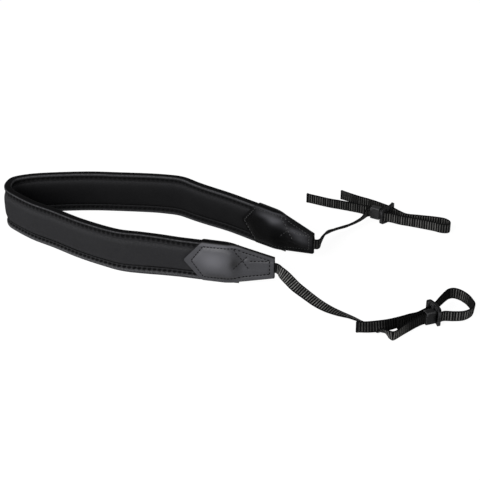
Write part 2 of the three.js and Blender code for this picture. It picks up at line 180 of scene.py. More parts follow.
TABLES = {
    End.LEFT: EndTables(
        slide=Spot(158.5, 82.5, -40),
        keeper=Spot(153.6, 94, -29),
        strap_turn=0,
        loop_slot=18.6,
        run=knots(
            (85.5, 4.4, 21), (88.2, 3.8, 21), (90.6, 6.4, 20.8, -2), (92, 12, 20, -7), (95, 24, 17.5, -19),
            (99, 39, 14, -37), (104.5, 48, 11.5, -46), (109, 55, 9.5, -48), (115.5, 61.5, 8.2, -48),
            (122, 66.5, 7.5, -46), (129, 73, 7.2, -42), (136, 80, 7.5, -34), (140, 86, 8, -17),
            (142.6, 91, 8.2, -4), (144.6, 94.4),
        ),
        tail=knots((144, 99.5), (136, 103.5), (118.5, 111), (108, 115), (84, 127.5)),
        loop_tail=knots((120.5, 135), (138, 121.5), (151.5, 112.5), (166, 100.5)),
        loop=knots(
            (173.5, 92.5), (177.5, 87.5), (183, 82), (197, 78.5), (212, 75), (221, 71.5), (225, 65.5),
            (223.5, 60), (217.5, 59.5), (208, 64.5), (187, 73.5), (176.5, 77.5), (167.5, 82.5),
        ),
        strap_wear=[(0, 0.3), (41, 0.3), (48, 0.05), (116, 0.05), (156, 0.5), (260, 0.5)],
        loop_wear=[(0, 0.4), (70, 0.4), (90, 0.55), (200, 0.6)],
    ),
    End.RIGHT: EndTables(
        slide=Spot(192, -108.8, 22),
        keeper=Spot(182.2, -105, 20),
        strap_turn=180,
        loop_slot=17.6,
        run=knots(
            (47.5, -41.1, 21), (49.8, -43.4, 20.9, 6), (51.8, -47.5, 20.5, 18), (55.5, -52.5, 19.2, 36),
            (60, -58, 17, 50), (64.5, -63, 14.5, 60), (74, -71, 10.5, 71), (83.5, -79, 7, 77),
            (93, -86, 4.8, 86), (102.5, -92, 3.8, 97), (112.5, -98, 3.5, 112), (119, -103.5, 3.6, 120),
            (126, -109, 3.2, 118), (132, -114.3, 2.8, 104), (138, -119.5, 2.2, 102),
            (141.2, -124.5, 4.7, 146), (143.5, -128.8, 5.3, 163), (147, -131.7, 5.5, 172),
            (150.5, -129.5, 5.5, 172), (155.5, -124.5, 6, 178), (163.5, -118, 7, 180),
            (170, -113.4, 7.9, 180),
        ),
        tail=knots((152.5, -118, 8.2, 180)),
        loop_tail=knots(
            (115.5, -121.5, 8.2, 5), (126, -121.5, 8.2, 14), (133.5, -120.5, 8.2, 21), (144, -118, 8.2, 18),
            (152, -114.5, 8.2, 10), (159, -110.9, 8.2, 5), (164, -108), (171, -105.2), (177, -100.5),
            (181, -97),
        ),
        loop=knots(
            (189.5, -88), (194.5, -80, 8.2, 2), (201, -70.5, 8.2, 5), (205, -66, 8.2, 7),
            (209.5, -64.5, 8.2, 8), (215, -67.5, 8.2, 8), (220.5, -75.5, 8.2, 8), (223, -83.5, 8.2, 8),
            (224, -90, 8.2, 7), (221, -97, 8.2, 6), (213, -103, 8.2, 4), (204, -104, 8.2, 2), (195.5, -103.5),
        ),
        strap_wear=[
            (0, 0.1), (36, 0.1), (40, 0.8), (126, 0.8), (146, 0.55), (182, 0.6), (196, 0.05), (320, 0.05),
        ],
        loop_wear=[
            (0, 0.24), (19, 0.24), (27, 0.03), (111, 0.04), (117, 0.5), (129, 0.5), (136, 0.12), (151, 0.05),
            (158, 0.55), (200, 0.65),
        ],
    ),
}


# Routes and meshes --------------------


def smooth(value: Array, low: float, high: float) -> Array:
    """A smooth rise from 0 at low to 1 at high."""
    share = np.clip((value - low) / (high - low), 0, 1)
    return share * share * (3 - 2 * share)


def bell(value: Array, middle: float, width: float) -> Array:
    """A bell curve that is 1 at its middle."""
    return np.exp(-(((value - middle) / width) ** 2))


def both_ways(columns: Array) -> Array:
    """Columns over one face, and the same ones back over the other."""
    return np.hstack([columns, columns[:, ::-1]])


@dataclass(frozen=True)
class Stations:
    """Places along a route and their directions, one row each, in millimetres."""

    distance: Array
    place: Array
    forward: Array
    across: Array
    out: Array

    def at(self, outward: Array, across: Array) -> Array:
        """Points outwards and across from each station, from one row of each for a station."""
        lifted = self.place[:, None] + self.out[:, None] * np.asarray(outward)[..., None]
        return lifted + self.across[:, None] * np.asarray(across)[..., None]


class Route:
    """A centripetal Catmull-Rom curve through a table's knots, measured by its length."""

    SAMPLES: ClassVar[int] = 1200

    def __init__(self, table: Sequence[Knot]) -> None:
        """Measures the curve.

        Args:
            table: the route's knots in order.
        """
        rows = np.array(table, float)
        self.places, self.turns = rows[:, :3], rows[:, 3]
        self.shares = np.linspace(0, 1, self.SAMPLES + 1)
        steps = np.diff(self._curve(self.shares)[0], axis=0)
        self.marks = np.concatenate([[0.0], np.cumsum(np.linalg.norm(steps, axis=1))])
        self.length = float(self.marks[-1])

    def _curve(self, share: Array) -> tuple[Array, Array]:
        """The curve's places and directions.

        Args:
            share: how far along, as shares of the count of spans between knots.

        Returns:
            The places, and the directions at their unscaled lengths.
        """
        last = len(self.places) - 1
        spans = np.clip(np.floor(share * last).astype(int), 0, last - 1)
        weight = (share * last - spans)[:, None]
        first, end = 2 * self.places[0] - self.places[1], 2 * self.places[-1] - self.places[-2]
        held = np.vstack([first, self.places, end])
        a, b, c, d = (held[spans + step] for step in range(4))
        ab, bc, cd = (np.linalg.norm(p - q, axis=1)[:, None] ** 0.5 for p, q in ((a, b), (b, c), (c, d)))
        leave = ((b - a) / ab - (c - a) / (ab + bc) + (c - b) / bc) * bc
        arrive = ((c - b) / bc - (d - b) / (bc + cd) + (d - c) / cd) * bc
        square, cube = -3 * b + 3 * c - 2 * leave - arrive, 2 * b - 2 * c + leave + arrive
        place = b + leave * weight + square * weight**2 + cube * weight**3
        return place, leave + 2 * square * weight + 3 * cube * weight**2

    def stations(self, distances: Iterable[float]) -> Stations:
        """The stations at distances along the curve.

        Args:
            distances: in millimetres from the curve's start.

        Returns:
            Their places and frames: across is turned from upright to the left of the way along.
        """
        distance = np.asarray(distances, float)
        share = np.interp(distance, self.marks, self.shares)
        place, way = self._curve(share)
        forward = way / np.linalg.norm(way, axis=1)[:, None]
        side = np.cross([0.0, 0.0, 1.0], forward)
        side /= np.linalg.norm(side, axis=1)[:, None]
        upright = np.cross(forward, side)
        rows = np.arange(len(self.turns))
        turn = np.radians(np.interp(share * (len(rows) - 1), rows, self.turns))[:, None]
        across = np.cos(turn) * upright + np.sin(turn) * side
        return Stations(distance, place, forward, across, np.cross(forward, across))


def to_metres(points: Array) -> Array:
    """Points of the CAD source's tables, moved to the part's own frame in metres."""
    return (np.asarray(points).reshape(-1, 3) - BOX_MIDDLE) * MM


def link(name: str, data: bpy.types.ID) -> Piece:
    """A new object in the scene, at the origin.

    Args:
        name: its name.
        data: its mesh, light or camera.

    Returns:
        The object.
    """
    piece = bpy.data.objects.new(name, data)
    bpy.context.scene.collection.objects.link(piece)
    return piece


def keep_values(mesh: bpy.types.Mesh, name: str, values: Array) -> None:
    """Keeps an attribute on a mesh's points: one number for each, or one vector for each."""
    kind, entry = ("FLOAT", "value") if values.ndim == 1 else ("FLOAT_VECTOR", "vector")
    mesh.attributes.new(name, kind, "POINT").data.foreach_set(entry, values.astype(np.float32).ravel())


def shade_smooth(mesh: bpy.types.Mesh, flat: int = 0) -> None:
    """Shades a mesh smooth, apart from a number of its last faces."""
    count = len(mesh.polygons)
    mesh.polygons.foreach_set("use_smooth", np.arange(count) < count - flat)


def skin(name: str, points: Array, ring: bool = False, masks: Masks | None = None) -> Piece:
    """A closed surface through an outline at each station.

    Args:
        name: the object's name.
        points: stations by corners by xyz in millimetres; the corners turn from out to across.
        ring: whether the last station joins the first; the ends are closed if not.
        masks: values of 0 to 1 for the finish, each stations by corners.

    Returns:
        The object, with a UV map in millimetres along and across.
    """
    stations, corners, _ = points.shape
    rows = stations if ring else stations - 1
    i, j = (grid.ravel() for grid in np.meshgrid(np.arange(rows), np.arange(corners), indexing="ij"))
    after, beside = (i + 1) % stations, (j + 1) % corners
    quads = [i * corners + j, after * corners + j, after * corners + beside, i * corners + beside]
    faces = np.stack(quads, 1).tolist()
    if not ring:
        faces.append(list(range(corners)))
        faces.append([stations * corners - 1 - corner for corner in range(corners)])
    mesh = bpy.data.meshes.new(name)
    mesh.from_pydata(to_metres(points), [], faces)
    middle = points.mean(axis=1)
    along = np.concatenate([[0], np.cumsum(np.linalg.norm(np.diff(middle, axis=0), axis=1))])
    along = np.append(along, along[-1] + np.linalg.norm(middle[0] - middle[-1]))
    sides = np.linalg.norm(np.roll(points, -1, axis=1) - points, axis=2)
    girth = np.concatenate([np.zeros((stations, 1)), np.cumsum(sides, axis=1)], axis=1)
    pairs = [(i, i, j), (i + 1, after, j), (i + 1, after, j + 1), (i, i, j + 1)]
    uv = np.stack([np.stack([along[u], girth[s, v]], 1) for u, s, v in pairs], 1).reshape(-1, 2)
    if not ring:
        depth = np.linalg.norm(points - points[:, :1], axis=2)
        for station, step in ((0, 1), (stations - 1, -1)):
            order = np.arange(corners)[::step]
            cap = np.stack([along[station] + depth[station, order], girth[station, order]], 1)
            uv = np.vstack([uv, cap])
    mesh.uv_layers.new(name="surface").uv.foreach_set("vector", uv.astype(np.float32).ravel())
    shade_smooth(mesh, 0 if ring else 2)
    for mask, values in (masks or {}).items():
        keep_values(mesh, mask, np.broadcast_to(values, points.shape[:2]).ravel())
    mesh.validate()
    mesh.update()
    return link(name, mesh)


def baked(piece: Piece, name: str) -> Piece:
    """A plain copy of a piece with its modifiers' result as its mesh. The piece itself goes.

    Args:
        piece: the piece with live modifiers.
        name: the copy's name.

    Returns:
        The copy.
    """
    graph = bpy.context.evaluated_depsgraph_get()
    mesh = bpy.data.meshes.new_from_object(piece.evaluated_get(graph), depsgraph=graph)
    bpy.data.objects.remove(piece)
    mesh.name = name
    return link(name, mesh)


def place_piece(piece: Piece, stands_for: Sequence[str] = ()) -> None:
    """Ties a finished piece to the body, and reports it.

    Args:
        piece: the piece.
        stands_for: the CAD nodes that it replaces; none for a trim.
    """
    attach(piece, BODY)
    if stands_for:
        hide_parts(*stands_for)
    LOG.info("%s: %d faces, for %s", piece.name, len(piece.data.polygons), ", ".join(stands_for) or "detail")


# Node trees ---------------------------


class Nodes:
    """Adds nodes to one tree and links them. Every call gives back outputs for the next one."""

    def __init__(self, tree: bpy.types.NodeTree) -> None:
        """Takes the tree that the nodes go into."""
        self.tree = tree

    def add(self, kind: str, feeds: dict[str | int, Feed] | None = None, **settings: object) -> Sockets:
        """Adds a node.

        Args:
            kind: the node's type name.
            feeds: its inputs by name or number, each a value, another node's output or a list of outputs.
            **settings: the node's own properties, set before its inputs.

        Returns:
            The node's outputs.
        """
        node = self.tree.nodes.new(kind)
        for key, value in settings.items():
            setattr(node, key, value)
        for key, values in (feeds or {}).items():
            for value in values if isinstance(values, list) else [values]:
                if isinstance(value, bpy.types.NodeSocket):
                    self.tree.links.new(value, node.inputs[key])
                else:
                    node.inputs[key].default_value = value
        return node.outputs

    def math(self, operation: str, first: Feed, second: Feed = 0.0, third: Feed = 0.0) -> Socket:
        """The result of a math node."""
        return self.add("ShaderNodeMath", {0: first, 1: second, 2: third}, operation=operation)[0]

    def times(self, first: Feed, second: Feed) -> Socket:
        """The product of two values."""
        return self.math("MULTIPLY", first, second)

    def ranged(self, value: Feed, low: float, high: float, to_low: float, to_high: float) -> Socket:
        """A value moved smoothly from one range to another."""
        feeds = {"Value": value, "From Min": low, "From Max": high, "To Min": to_low, "To Max": to_high}
        return self.add("ShaderNodeMapRange", feeds, interpolation_type="SMOOTHSTEP")[0]

    def coats(self, colour: Feed, *coats: tuple[Feed, Feed]) -> Socket:
        """A colour under coats of others.

        Args:
            colour: the lowest colour.
            *coats: how much of each coat there is, from 0 to 1, and its colour.

        Returns:
            The colour that shows.
        """
        for share, over in coats:
            first, second = ((*tone, 1) if isinstance(tone, tuple) else tone for tone in (colour, over))
            colour = self.add("ShaderNodeMix", {0: share, 6: first, 7: second}, data_type="RGBA")[2]
        return colour

    def noise(self, vector: Socket, scale: Feed, detail: float = 2.0) -> Socket:
        """The value of a noise texture."""
        return self.add("ShaderNodeTexNoise", {"Vector": vector, "Scale": scale, "Detail": detail})[0]

    def mask(self, name: str) -> Socket:
        """A mesh attribute's value, in a material."""
        return self.add("ShaderNodeAttribute", attribute_name=name)["Fac"]

    def stored(self, name: str, kind: str = "FLOAT") -> Socket:
        """A mesh attribute's value, in geometry nodes."""
        return self.add("GeometryNodeInputNamedAttribute", {"Name": name}, data_type=kind)[0]

    def store(self, geometry: Socket, name: str, value: Socket, domain: str) -> Socket:
        """The geometry with a value kept as its attribute."""
        feeds = {"Geometry": geometry, "Name": name, "Value": value}
        return self.add("GeometryNodeStoreNamedAttribute", feeds, data_type="FLOAT", domain=domain)[0]

    def chance(self, least: Feed, most: Feed, seed: Feed) -> Socket:
        """A random value for each point."""
        return self.add("FunctionNodeRandomValue", {2: least, 3: most, "Seed": seed}, data_type="FLOAT")[1]


def yarns(nodes: Nodes, given: Sockets) -> dict[str, Socket]:
    """Rows of short yarn loops. Slant bends each into a V, as in a knit, and 0 leaves it straight.

    Args:
        nodes: the group's nodes.
        given: the group's inputs.

    Returns:
        The yarns' height, and a tone that differs from yarn to yarn.
    """
    split = nodes.add("ShaderNodeSeparateXYZ", {"Vector": given["Vector"]})
    drift = nodes.times(nodes.math("SUBTRACT", nodes.noise(given["Vector"], 0.4), 0.5), given["Slub"])
    wale, course = (
        nodes.math("ADD", nodes.math("DIVIDE", split[axis], given[size]), drift)
        for axis, size in enumerate(("Wale", "Course"))
    )
    from_middle = nodes.math("ABSOLUTE", nodes.math("SUBTRACT", nodes.math("FRACT", wale), 0.5))
    bent = nodes.math("ADD", course, nodes.times(from_middle, given["Slant"]))
    row = nodes.math("ABSOLUTE", nodes.math("SINE", nodes.times(bent, math.pi)))
    column = nodes.math("COSINE", nodes.times(from_middle, math.pi * 0.95))
    height = nodes.times(nodes.math("POWER", row, 0.7), nodes.math("POWER", column, 0.5))
    cell = nodes.add("ShaderNodeCombineXYZ", {"X": nodes.math("FLOOR", wale), "Y": nodes.math("FLOOR", bent)})
    chance = nodes.add("ShaderNodeTexWhiteNoise", {"Vector": cell[0]})["Value"]
    return {"Height": height, "Tone": nodes.times(chance, height)}


def grain(nodes: Nodes, given: Sockets) -> dict[str, Socket]:
    """A pebbled grain of rounded cells with creases between them, Cell wide.

    Args:
        nodes: the group's nodes.
        given: the group's inputs.

    Returns:
        The grain's height, and where its creases are.
    """
    warp = nodes.add("ShaderNodeTexNoise", {"Vector": given["Vector"], "Scale": 0.35, "Detail": 3.0})
    feeds = {0: warp["Color"], 1: (1.6, 1.6, 1.6), 2: given["Vector"]}
    moved = nodes.add("ShaderNodeVectorMath", feeds, operation="MULTIPLY_ADD")[0]
    scale = nodes.math("DIVIDE", 1.0, given["Cell"])
    cells = nodes.add("ShaderNodeTexVoronoi", {"Vector": moved, "Scale": scale}, feature="DISTANCE_TO_EDGE")
    crease = nodes.ranged(cells["Distance"], 0.0, 0.16, 1.0, 0.0)
    fine = nodes.noise(moved, nodes.times(scale, 3.0), 4.0)
    dome = nodes.ranged(cells["Distance"], 0.0, 0.45, 0.0, 1.0)
    return {"Height": nodes.math("ADD", dome, nodes.times(fine, 0.35)), "Crease": crease}


def age(nodes: Nodes, given: Sockets) -> dict[str, Socket]:
    """Cloudy differences of tone, wear and painted highlights where the Edge mask asks, and a few specks of
    lint.

    Args:
        nodes: the group's nodes.
        given: the group's inputs.

    Returns:
        The tone, how much wear and painted highlights lighten the surface, and how covered with lint it is.
    """
    cloud = nodes.noise(given["Vector"], nodes.math("DIVIDE", 1.0, given["Cloud"]), 4.0)
    streak = nodes.noise(given["Vector"], 0.7, 3.0)
    # Where the Edge mask asks, wear and painted highlights lighten the surface in streaks.
    rubbed = nodes.times(given["Edge"], nodes.ranged(streak, 0.38, 0.64, 0.25, 1.0))
    specks = nodes.add("ShaderNodeTexVoronoi", {"Vector": given["Vector"], "Scale": 0.09})
    lint = nodes.ranged(specks["Distance"], 0.012, 0.03, 1.0, 0.0)
    return {"Tone": cloud, "Rubbed": rubbed, "Lint": lint}


class SurfaceGroup(Enum):
    """The shader node groups that finishes share."""

    YARNS = "cloth_yarns"
    GRAIN = "moulded_grain"
    AGE = "uneven_age"

    def tree(self) -> bpy.types.NodeTree:
        """The group's tree, built at its first use.

        Returns:
            The tree. Its inputs besides Vector are numbers, and so are its outputs.
        """
        found = bpy.data.node_groups.get(self.value)
        if found:
            return found
        tree = bpy.data.node_groups.new(self.value, "ShaderNodeTree")
        build, inputs, outputs = _GROUPS[self]
        tree.interface.new_socket("Vector", in_out="INPUT", socket_type="NodeSocketVector")
        for label, value in inputs.items():
            socket = tree.interface.new_socket(label, in_out="INPUT", socket_type="NodeSocketFloat")
            socket.default_value = value
        for label in outputs:
            tree.interface.new_socket(label, in_out="OUTPUT", socket_type="NodeSocketFloat")
        nodes = Nodes(tree)
        nodes.add("NodeGroupOutput", build(nodes, nodes.add("NodeGroupInput")))
        return tree

    def place(self, nodes: Nodes, **feeds: Feed) -> Sockets:
        """Places the group in a material.

        Args:
            nodes: the material's nodes.
            **feeds: the group's inputs, named in lower case.

        Returns:
            The group's outputs.
        """
        named = {label.capitalize(): value for label, value in feeds.items()}
        return nodes.add("ShaderNodeGroup", named, node_tree=self.tree())


_GROUPS: dict[SurfaceGroup, tuple[Callable, dict[str, float], tuple[str, ...]]] = {
    SurfaceGroup.YARNS: (yarns, {"Wale": 0.8, "Course": 0.7, "Slant": 1.0, "Slub": 0.15}, ("Height", "Tone")),
    SurfaceGroup.GRAIN: (grain, {"Cell": 0.9}, ("Height", "Crease")),
    SurfaceGroup.AGE: (age, {"Cloud": 18.0, "Edge": 0.0}, ("Tone", "Rubbed", "Lint")),
}


# Finishes -----------------------------


def empty_material(name: str) -> tuple[bpy.types.Material, Nodes]:
    """A new material without nodes.

    Args:
        name: its name.

    Returns:
        The material, and its nodes to be added to.
    """
    material = bpy.data.materials.new(name)
    material.use_nodes = True
    material.node_tree.nodes.clear()
    return material, Nodes(material.node_tree)


@dataclass(frozen=True)
class Finish:
    """One material: its name, its colours from the dark places to the light ones, and its gloss.

    relief is how deep the finish's pattern goes, in millimetres.
    """

    name: str
    dark: Tone
    light: Tone
    roughness: float = 0.8
    specular: float = 0.5
    relief: float = 0.1

    def material(self) -> bpy.types.Material:
        """The material, made at its first use.

        Returns:
            The material, whose pattern follows the UV map that each piece has.
        """
        found = bpy.data.materials.get(self.name)
        if found:
            return found
        material, nodes = empty_material(self.name)
        place = nodes.add("ShaderNodeUVMap", uv_map="surface")[0]
        colour, roughness, height = self.paint(nodes, place)
        bump = nodes.add("ShaderNodeBump", {"Height": height, "Distance": self.relief * MM, "Strength": 1.0})
        feeds = {"Base Color": colour, "Roughness": roughness, "Normal": bump[0]}
        shader = nodes.add("ShaderNodeBsdfPrincipled", {**feeds, "Specular IOR Level": self.specular})
        nodes.add("ShaderNodeOutputMaterial", {"Surface": shader[0]})
        return material

    def paint(self, nodes: Nodes, place: Socket) -> Paint:
        """The finish's own pattern.

        Args:
            nodes: the material's nodes.
            place: the surface's coordinates in millimetres.

        Returns:
            Colour, roughness and height outputs.
        """
        raise NotImplementedError

    def mottled(self, nodes: Nodes, tone: Socket, spread: float) -> Socket:
        """A roughness that differs with the cloudy tone."""
        return nodes.ranged(tone, 0.3, 0.7, self.roughness - spread, self.roughness + spread)


@dataclass(frozen=True)
class Cloth(Finish):
    """Knitted or woven cloth: yarn sizes in millimetres, and how much each is bent into a V."""

    relief: float = 0.12
    wale: float = 0.8
    course: float = 0.7
    slant: float = 1.0
    # The colours of wear with painted highlight, of painted shade, of lint and of deep painted shade.
    rubbed: Tone = (0.13, 0.13, 0.135)
    shaded: Tone = (0.009, 0.009, 0.0098)
    lint: Tone = (0.3, 0.3, 0.3)
    sunk: Tone = (0.0015, 0.0015, 0.002)

    def paint(self, nodes: Nodes, place: Socket) -> Paint:
        """Yarn loops with cloudy tone, wear with painted highlights, painted shade at seams and shaded
        places, and a little lint.

        Args:
            nodes: the material's nodes.
            place: the surface's coordinates in millimetres.

        Returns:
            Colour, roughness and height outputs.
        """
        weave = SurfaceGroup.YARNS.place(
            nodes, vector=place, wale=self.wale, course=self.course, slant=self.slant,
        )
        tone_and_light = SurfaceGroup.AGE.place(nodes, vector=place, cloud=22.0, edge=nodes.mask("rubbed"))
        share = nodes.math("MULTIPLY_ADD", weave["Tone"], 0.5, nodes.times(tone_and_light["Tone"], 0.6))
        lint = nodes.times(tone_and_light["Lint"], 0.25)
        worn = [(share, self.light), (tone_and_light["Rubbed"], self.rubbed), (lint, self.lint)]
        masked = [(nodes.mask("shaded"), self.shaded), (nodes.mask("sunk"), self.sunk)]
        colour = nodes.coats(self.dark, *worn, *masked)
        return colour, self.mottled(nodes, tone_and_light["Tone"], 0.06), weave["Height"]


@dataclass(frozen=True)
class Leather(Finish):
    """Smooth pebbled leather with painted cut edges."""

    relief: float = 0.05
    cell: float = 0.75
    # The colours of painted highlight, of wear with painted highlight, and of black edge paint.
    polished: Tone = (0.17, 0.17, 0.18)
    rubbed: Tone = (0.11, 0.11, 0.115)
    painted: Tone = (0.002, 0.002, 0.0025)

    def paint(self, nodes: Nodes, place: Socket) -> Paint:
        """Grain, cloudy tone, polish with painted highlights, painted shade in spots and stitch grooves, and
        black edge paint.

        Args:
            nodes: the material's nodes.
            place: the surface's coordinates in millimetres.

        Returns:
            Colour, roughness and height outputs.
        """
        pebbles = SurfaceGroup.GRAIN.place(nodes, vector=place, cell=self.cell)
        tone_and_light = SurfaceGroup.AGE.place(nodes, vector=place, cloud=14.0, edge=nodes.mask("rubbed"))
        share = nodes.times(tone_and_light["Tone"], nodes.ranged(pebbles["Crease"], 0, 1, 1.0, 0.6))
        rubbed, polished = nodes.times(tone_and_light["Rubbed"], 0.5), nodes.mask("polished")
        # Painted shade dims the leather to a third of its darkest tone.
        shadow_tone = tuple(tone * 0.3 for tone in self.dark)
        # Stitch grooves take a fifth of the edge paint's colour as painted shade.
        painted = nodes.math("MAXIMUM", nodes.mask("painted"), nodes.times(nodes.mask("sunk"), 0.2))
        lighter_coats = [(share, self.light), (rubbed, self.rubbed), (polished, self.polished)]
        colour = nodes.coats(self.dark, *lighter_coats, (nodes.mask("shaded"), shadow_tone), (painted, self.painted))
        rough = self.mottled(nodes, tone_and_light["Tone"], 0.07)
        for mask, rise in ((pebbles["Crease"], 0.1), (nodes.mask("painted"), 0.35), (polished, -0.12)):
            rough = nodes.math("MULTIPLY_ADD", mask, rise, rough)
        return colour, rough, nodes.times(pebbles["Height"], nodes.ranged(painted, 0, 1, 1.0, 0.2))


@dataclass(frozen=True)
class Webbing(Finish):
    """Ribbed nylon webbing: the ribs are meshes, and this adds the yarns that run along over them."""

    relief: float = 0.12
    yarn: float = 0.62
    # The core shows only in the grooves between ribs, and its near-black colour is painted shade there.
    core: Tone = (0.0015, 0.0015, 0.0018)
    melted: Tone = (0.004, 0.004, 0.0045)

    def paint(self, nodes: Nodes, place: Socket) -> Paint:
        """Yarns side by side over each rib, ribs of slightly different tone, painted light and shade, and
        black melted ends.

        Args:
            nodes: the material's nodes.
            place: the surface's coordinates in millimetres.

        Returns:
            Colour, roughness and height outputs.
        """
        strands = SurfaceGroup.YARNS.place(
            nodes, vector=place, wale=2.4, course=self.yarn, slant=0.0, slub=0.35,
        )
        tone_and_light = SurfaceGroup.AGE.place(nodes, vector=place, cloud=9.0)
        share = nodes.times(nodes.math("MULTIPLY_ADD", strands["Tone"], 0.6, 0.5), nodes.mask("shade"))
        ribs = nodes.coats(self.dark, (share, self.light))
        colour = nodes.coats(self.core, (nodes.mask("rib"), ribs), (nodes.mask("sealed"), self.melted))
        return colour, self.mottled(nodes, tone_and_light["Tone"], 0.08), strands["Height"]


@dataclass(frozen=True)
class Plastic(Finish):
    """Satin moulded plastic with a fine spark texture and rubbed corners."""

    relief: float = 0.02
    cell: float = 0.35
    rubbed: Tone = (0.12, 0.12, 0.125)

    def paint(self, nodes: Nodes, place: Socket) -> Paint:
        """Fine texture, cloudy tone and paler corners.

        Args:
            nodes: the material's nodes.
            place: the surface's coordinates in millimetres.

        Returns:
            Colour, roughness and height outputs.
        """
        texture = SurfaceGroup.GRAIN.place(nodes, vector=place, cell=self.cell)
        tone_and_light = SurfaceGroup.AGE.place(nodes, vector=place, cloud=6.0, edge=nodes.mask("rubbed"))
        rubbed = nodes.times(tone_and_light["Rubbed"], 0.6)
        colour = nodes.coats(self.dark, (tone_and_light["Tone"], self.light), (rubbed, self.rubbed))
        rough = nodes.ranged(texture["Height"], 0.0, 1.2, self.roughness - 0.05, self.roughness + 0.08)
        return colour, rough, texture["Height"]


@dataclass(frozen=True)
class Thread(Finish):
    """Twisted sewing thread."""

    relief: float = 0.06

    def paint(self, nodes: Nodes, place: Socket) -> Paint:
        """Plies that wind round the thread, in tones that differ from stitch to stitch and from row to row,
        partly painted light and shade.

        Args:
            nodes: the material's nodes.
            place: the surface's coordinates in millimetres.

        Returns:
            Colour, roughness and height outputs.
        """
        plies = SurfaceGroup.YARNS.place(nodes, vector=place, wale=50.0, course=0.5, slant=0.0, slub=1.5)
        share = nodes.times(nodes.mask("shade"), plies["Height"])
        rough = nodes.ranged(share, 0.0, 1.0, self.roughness + 0.1, self.roughness - 0.1)
        return nodes.coats(self.dark, (share, self.light)), rough, plies["Height"]


PANEL_CLOTH = Cloth("neck_pad_cloth", (0.017, 0.017, 0.0184), (0.034, 0.034, 0.0366), 0.92, 0.12)
BINDING_TAPE = Cloth(
    "edge_binding_tape", (0.015, 0.015, 0.016), (0.045, 0.045, 0.048), 0.8, 0.12, 0.1, wale=0.45, course=1.1,
    slant=0.0, rubbed=(0.142, 0.142, 0.15), shaded=(0.003, 0.003, 0.0035),
)
PATCH_LEATHER = Leather(
    "patch_leather", (0.027, 0.027, 0.0312), (0.066, 0.066, 0.0755), 0.42, polished=(0.155, 0.155, 0.172),
)
# The same leather as the outer plates, made darker as painted shade on the inner faces.
SHADED_LINING_LEATHER = Leather(
    "patch_lining_leather", (0.0015, 0.0015, 0.0018), (0.006, 0.006, 0.007), 0.36, 0.1,
    polished=(0.09, 0.09, 0.099),
)
STRAP_WEBBING = Webbing("strap_webbing", (0.004, 0.004, 0.004), (0.43, 0.425, 0.41), 0.65, 0.1)
SATIN_PLASTIC = Plastic("satin_plastic", (0.003, 0.003, 0.0032), (0.008, 0.008, 0.0085), 0.5, 0.16)
SLEEVE_PLASTIC = Plastic("sleeve_plastic", (0.006, 0.006, 0.0065), (0.014, 0.014, 0.015), 0.5, 0.2)
FADED_PLASTIC = Plastic("faded_sleeve_plastic", (0.016, 0.016, 0.0165), (0.036, 0.036, 0.037), 0.5, 0.3)
BLACK_THREAD = Thread("black_thread", (0.001, 0.001, 0.0012), (0.007, 0.007, 0.0075), 0.6, 0.08)
PATCH_THREAD = Thread("patch_thread", (0.001, 0.001, 0.0012), (0.07, 0.07, 0.075), 0.6, 0.1)
# The inner faces' thread is light grey as painted highlight on its stitches.
LIT_LINING_THREAD = Thread("lining_thread", (0.004, 0.004, 0.0045), (0.26, 0.26, 0.27), 0.4)


# Shapes laid along paths --------------


@dataclass(frozen=True)
class Path:
    """Lines that a shape is repeated along: each is points, ways forward and outward directions.

    lightness is how light the copies are along the lines, from 0 to 1, for all their points in order:
    thread tone, with painted light and shade along the webbing and on the lining's stitches.
    """

    lines: list[tuple[Array, Array, Array]]
    worn: Array | float = 1.0

    def piece(self, name: str) -> Piece:
        """The lines as edges that carry their directions.

        Args:
            name: the result's name.

        Returns:
            An object of loose edges.
        """
        mesh = bpy.data.meshes.new(name)
        points, forward, outward = (np.vstack(column) for column in zip(*self.lines))
        starts = np.concatenate([[0], np.cumsum([len(line[0]) for line in self.lines])])
        edges = [(k, k + 1) for first, last in zip(starts, starts[1:]) for k in range(first, last - 1)]
        mesh.from_pydata(to_metres(points), edges, [])
        keep_values(mesh, "forward", forward)
        keep_values(mesh, "outward", outward)
        keep_values(mesh, "worn", np.broadcast_to(self.worn, len(points)))
        return link(name, mesh)


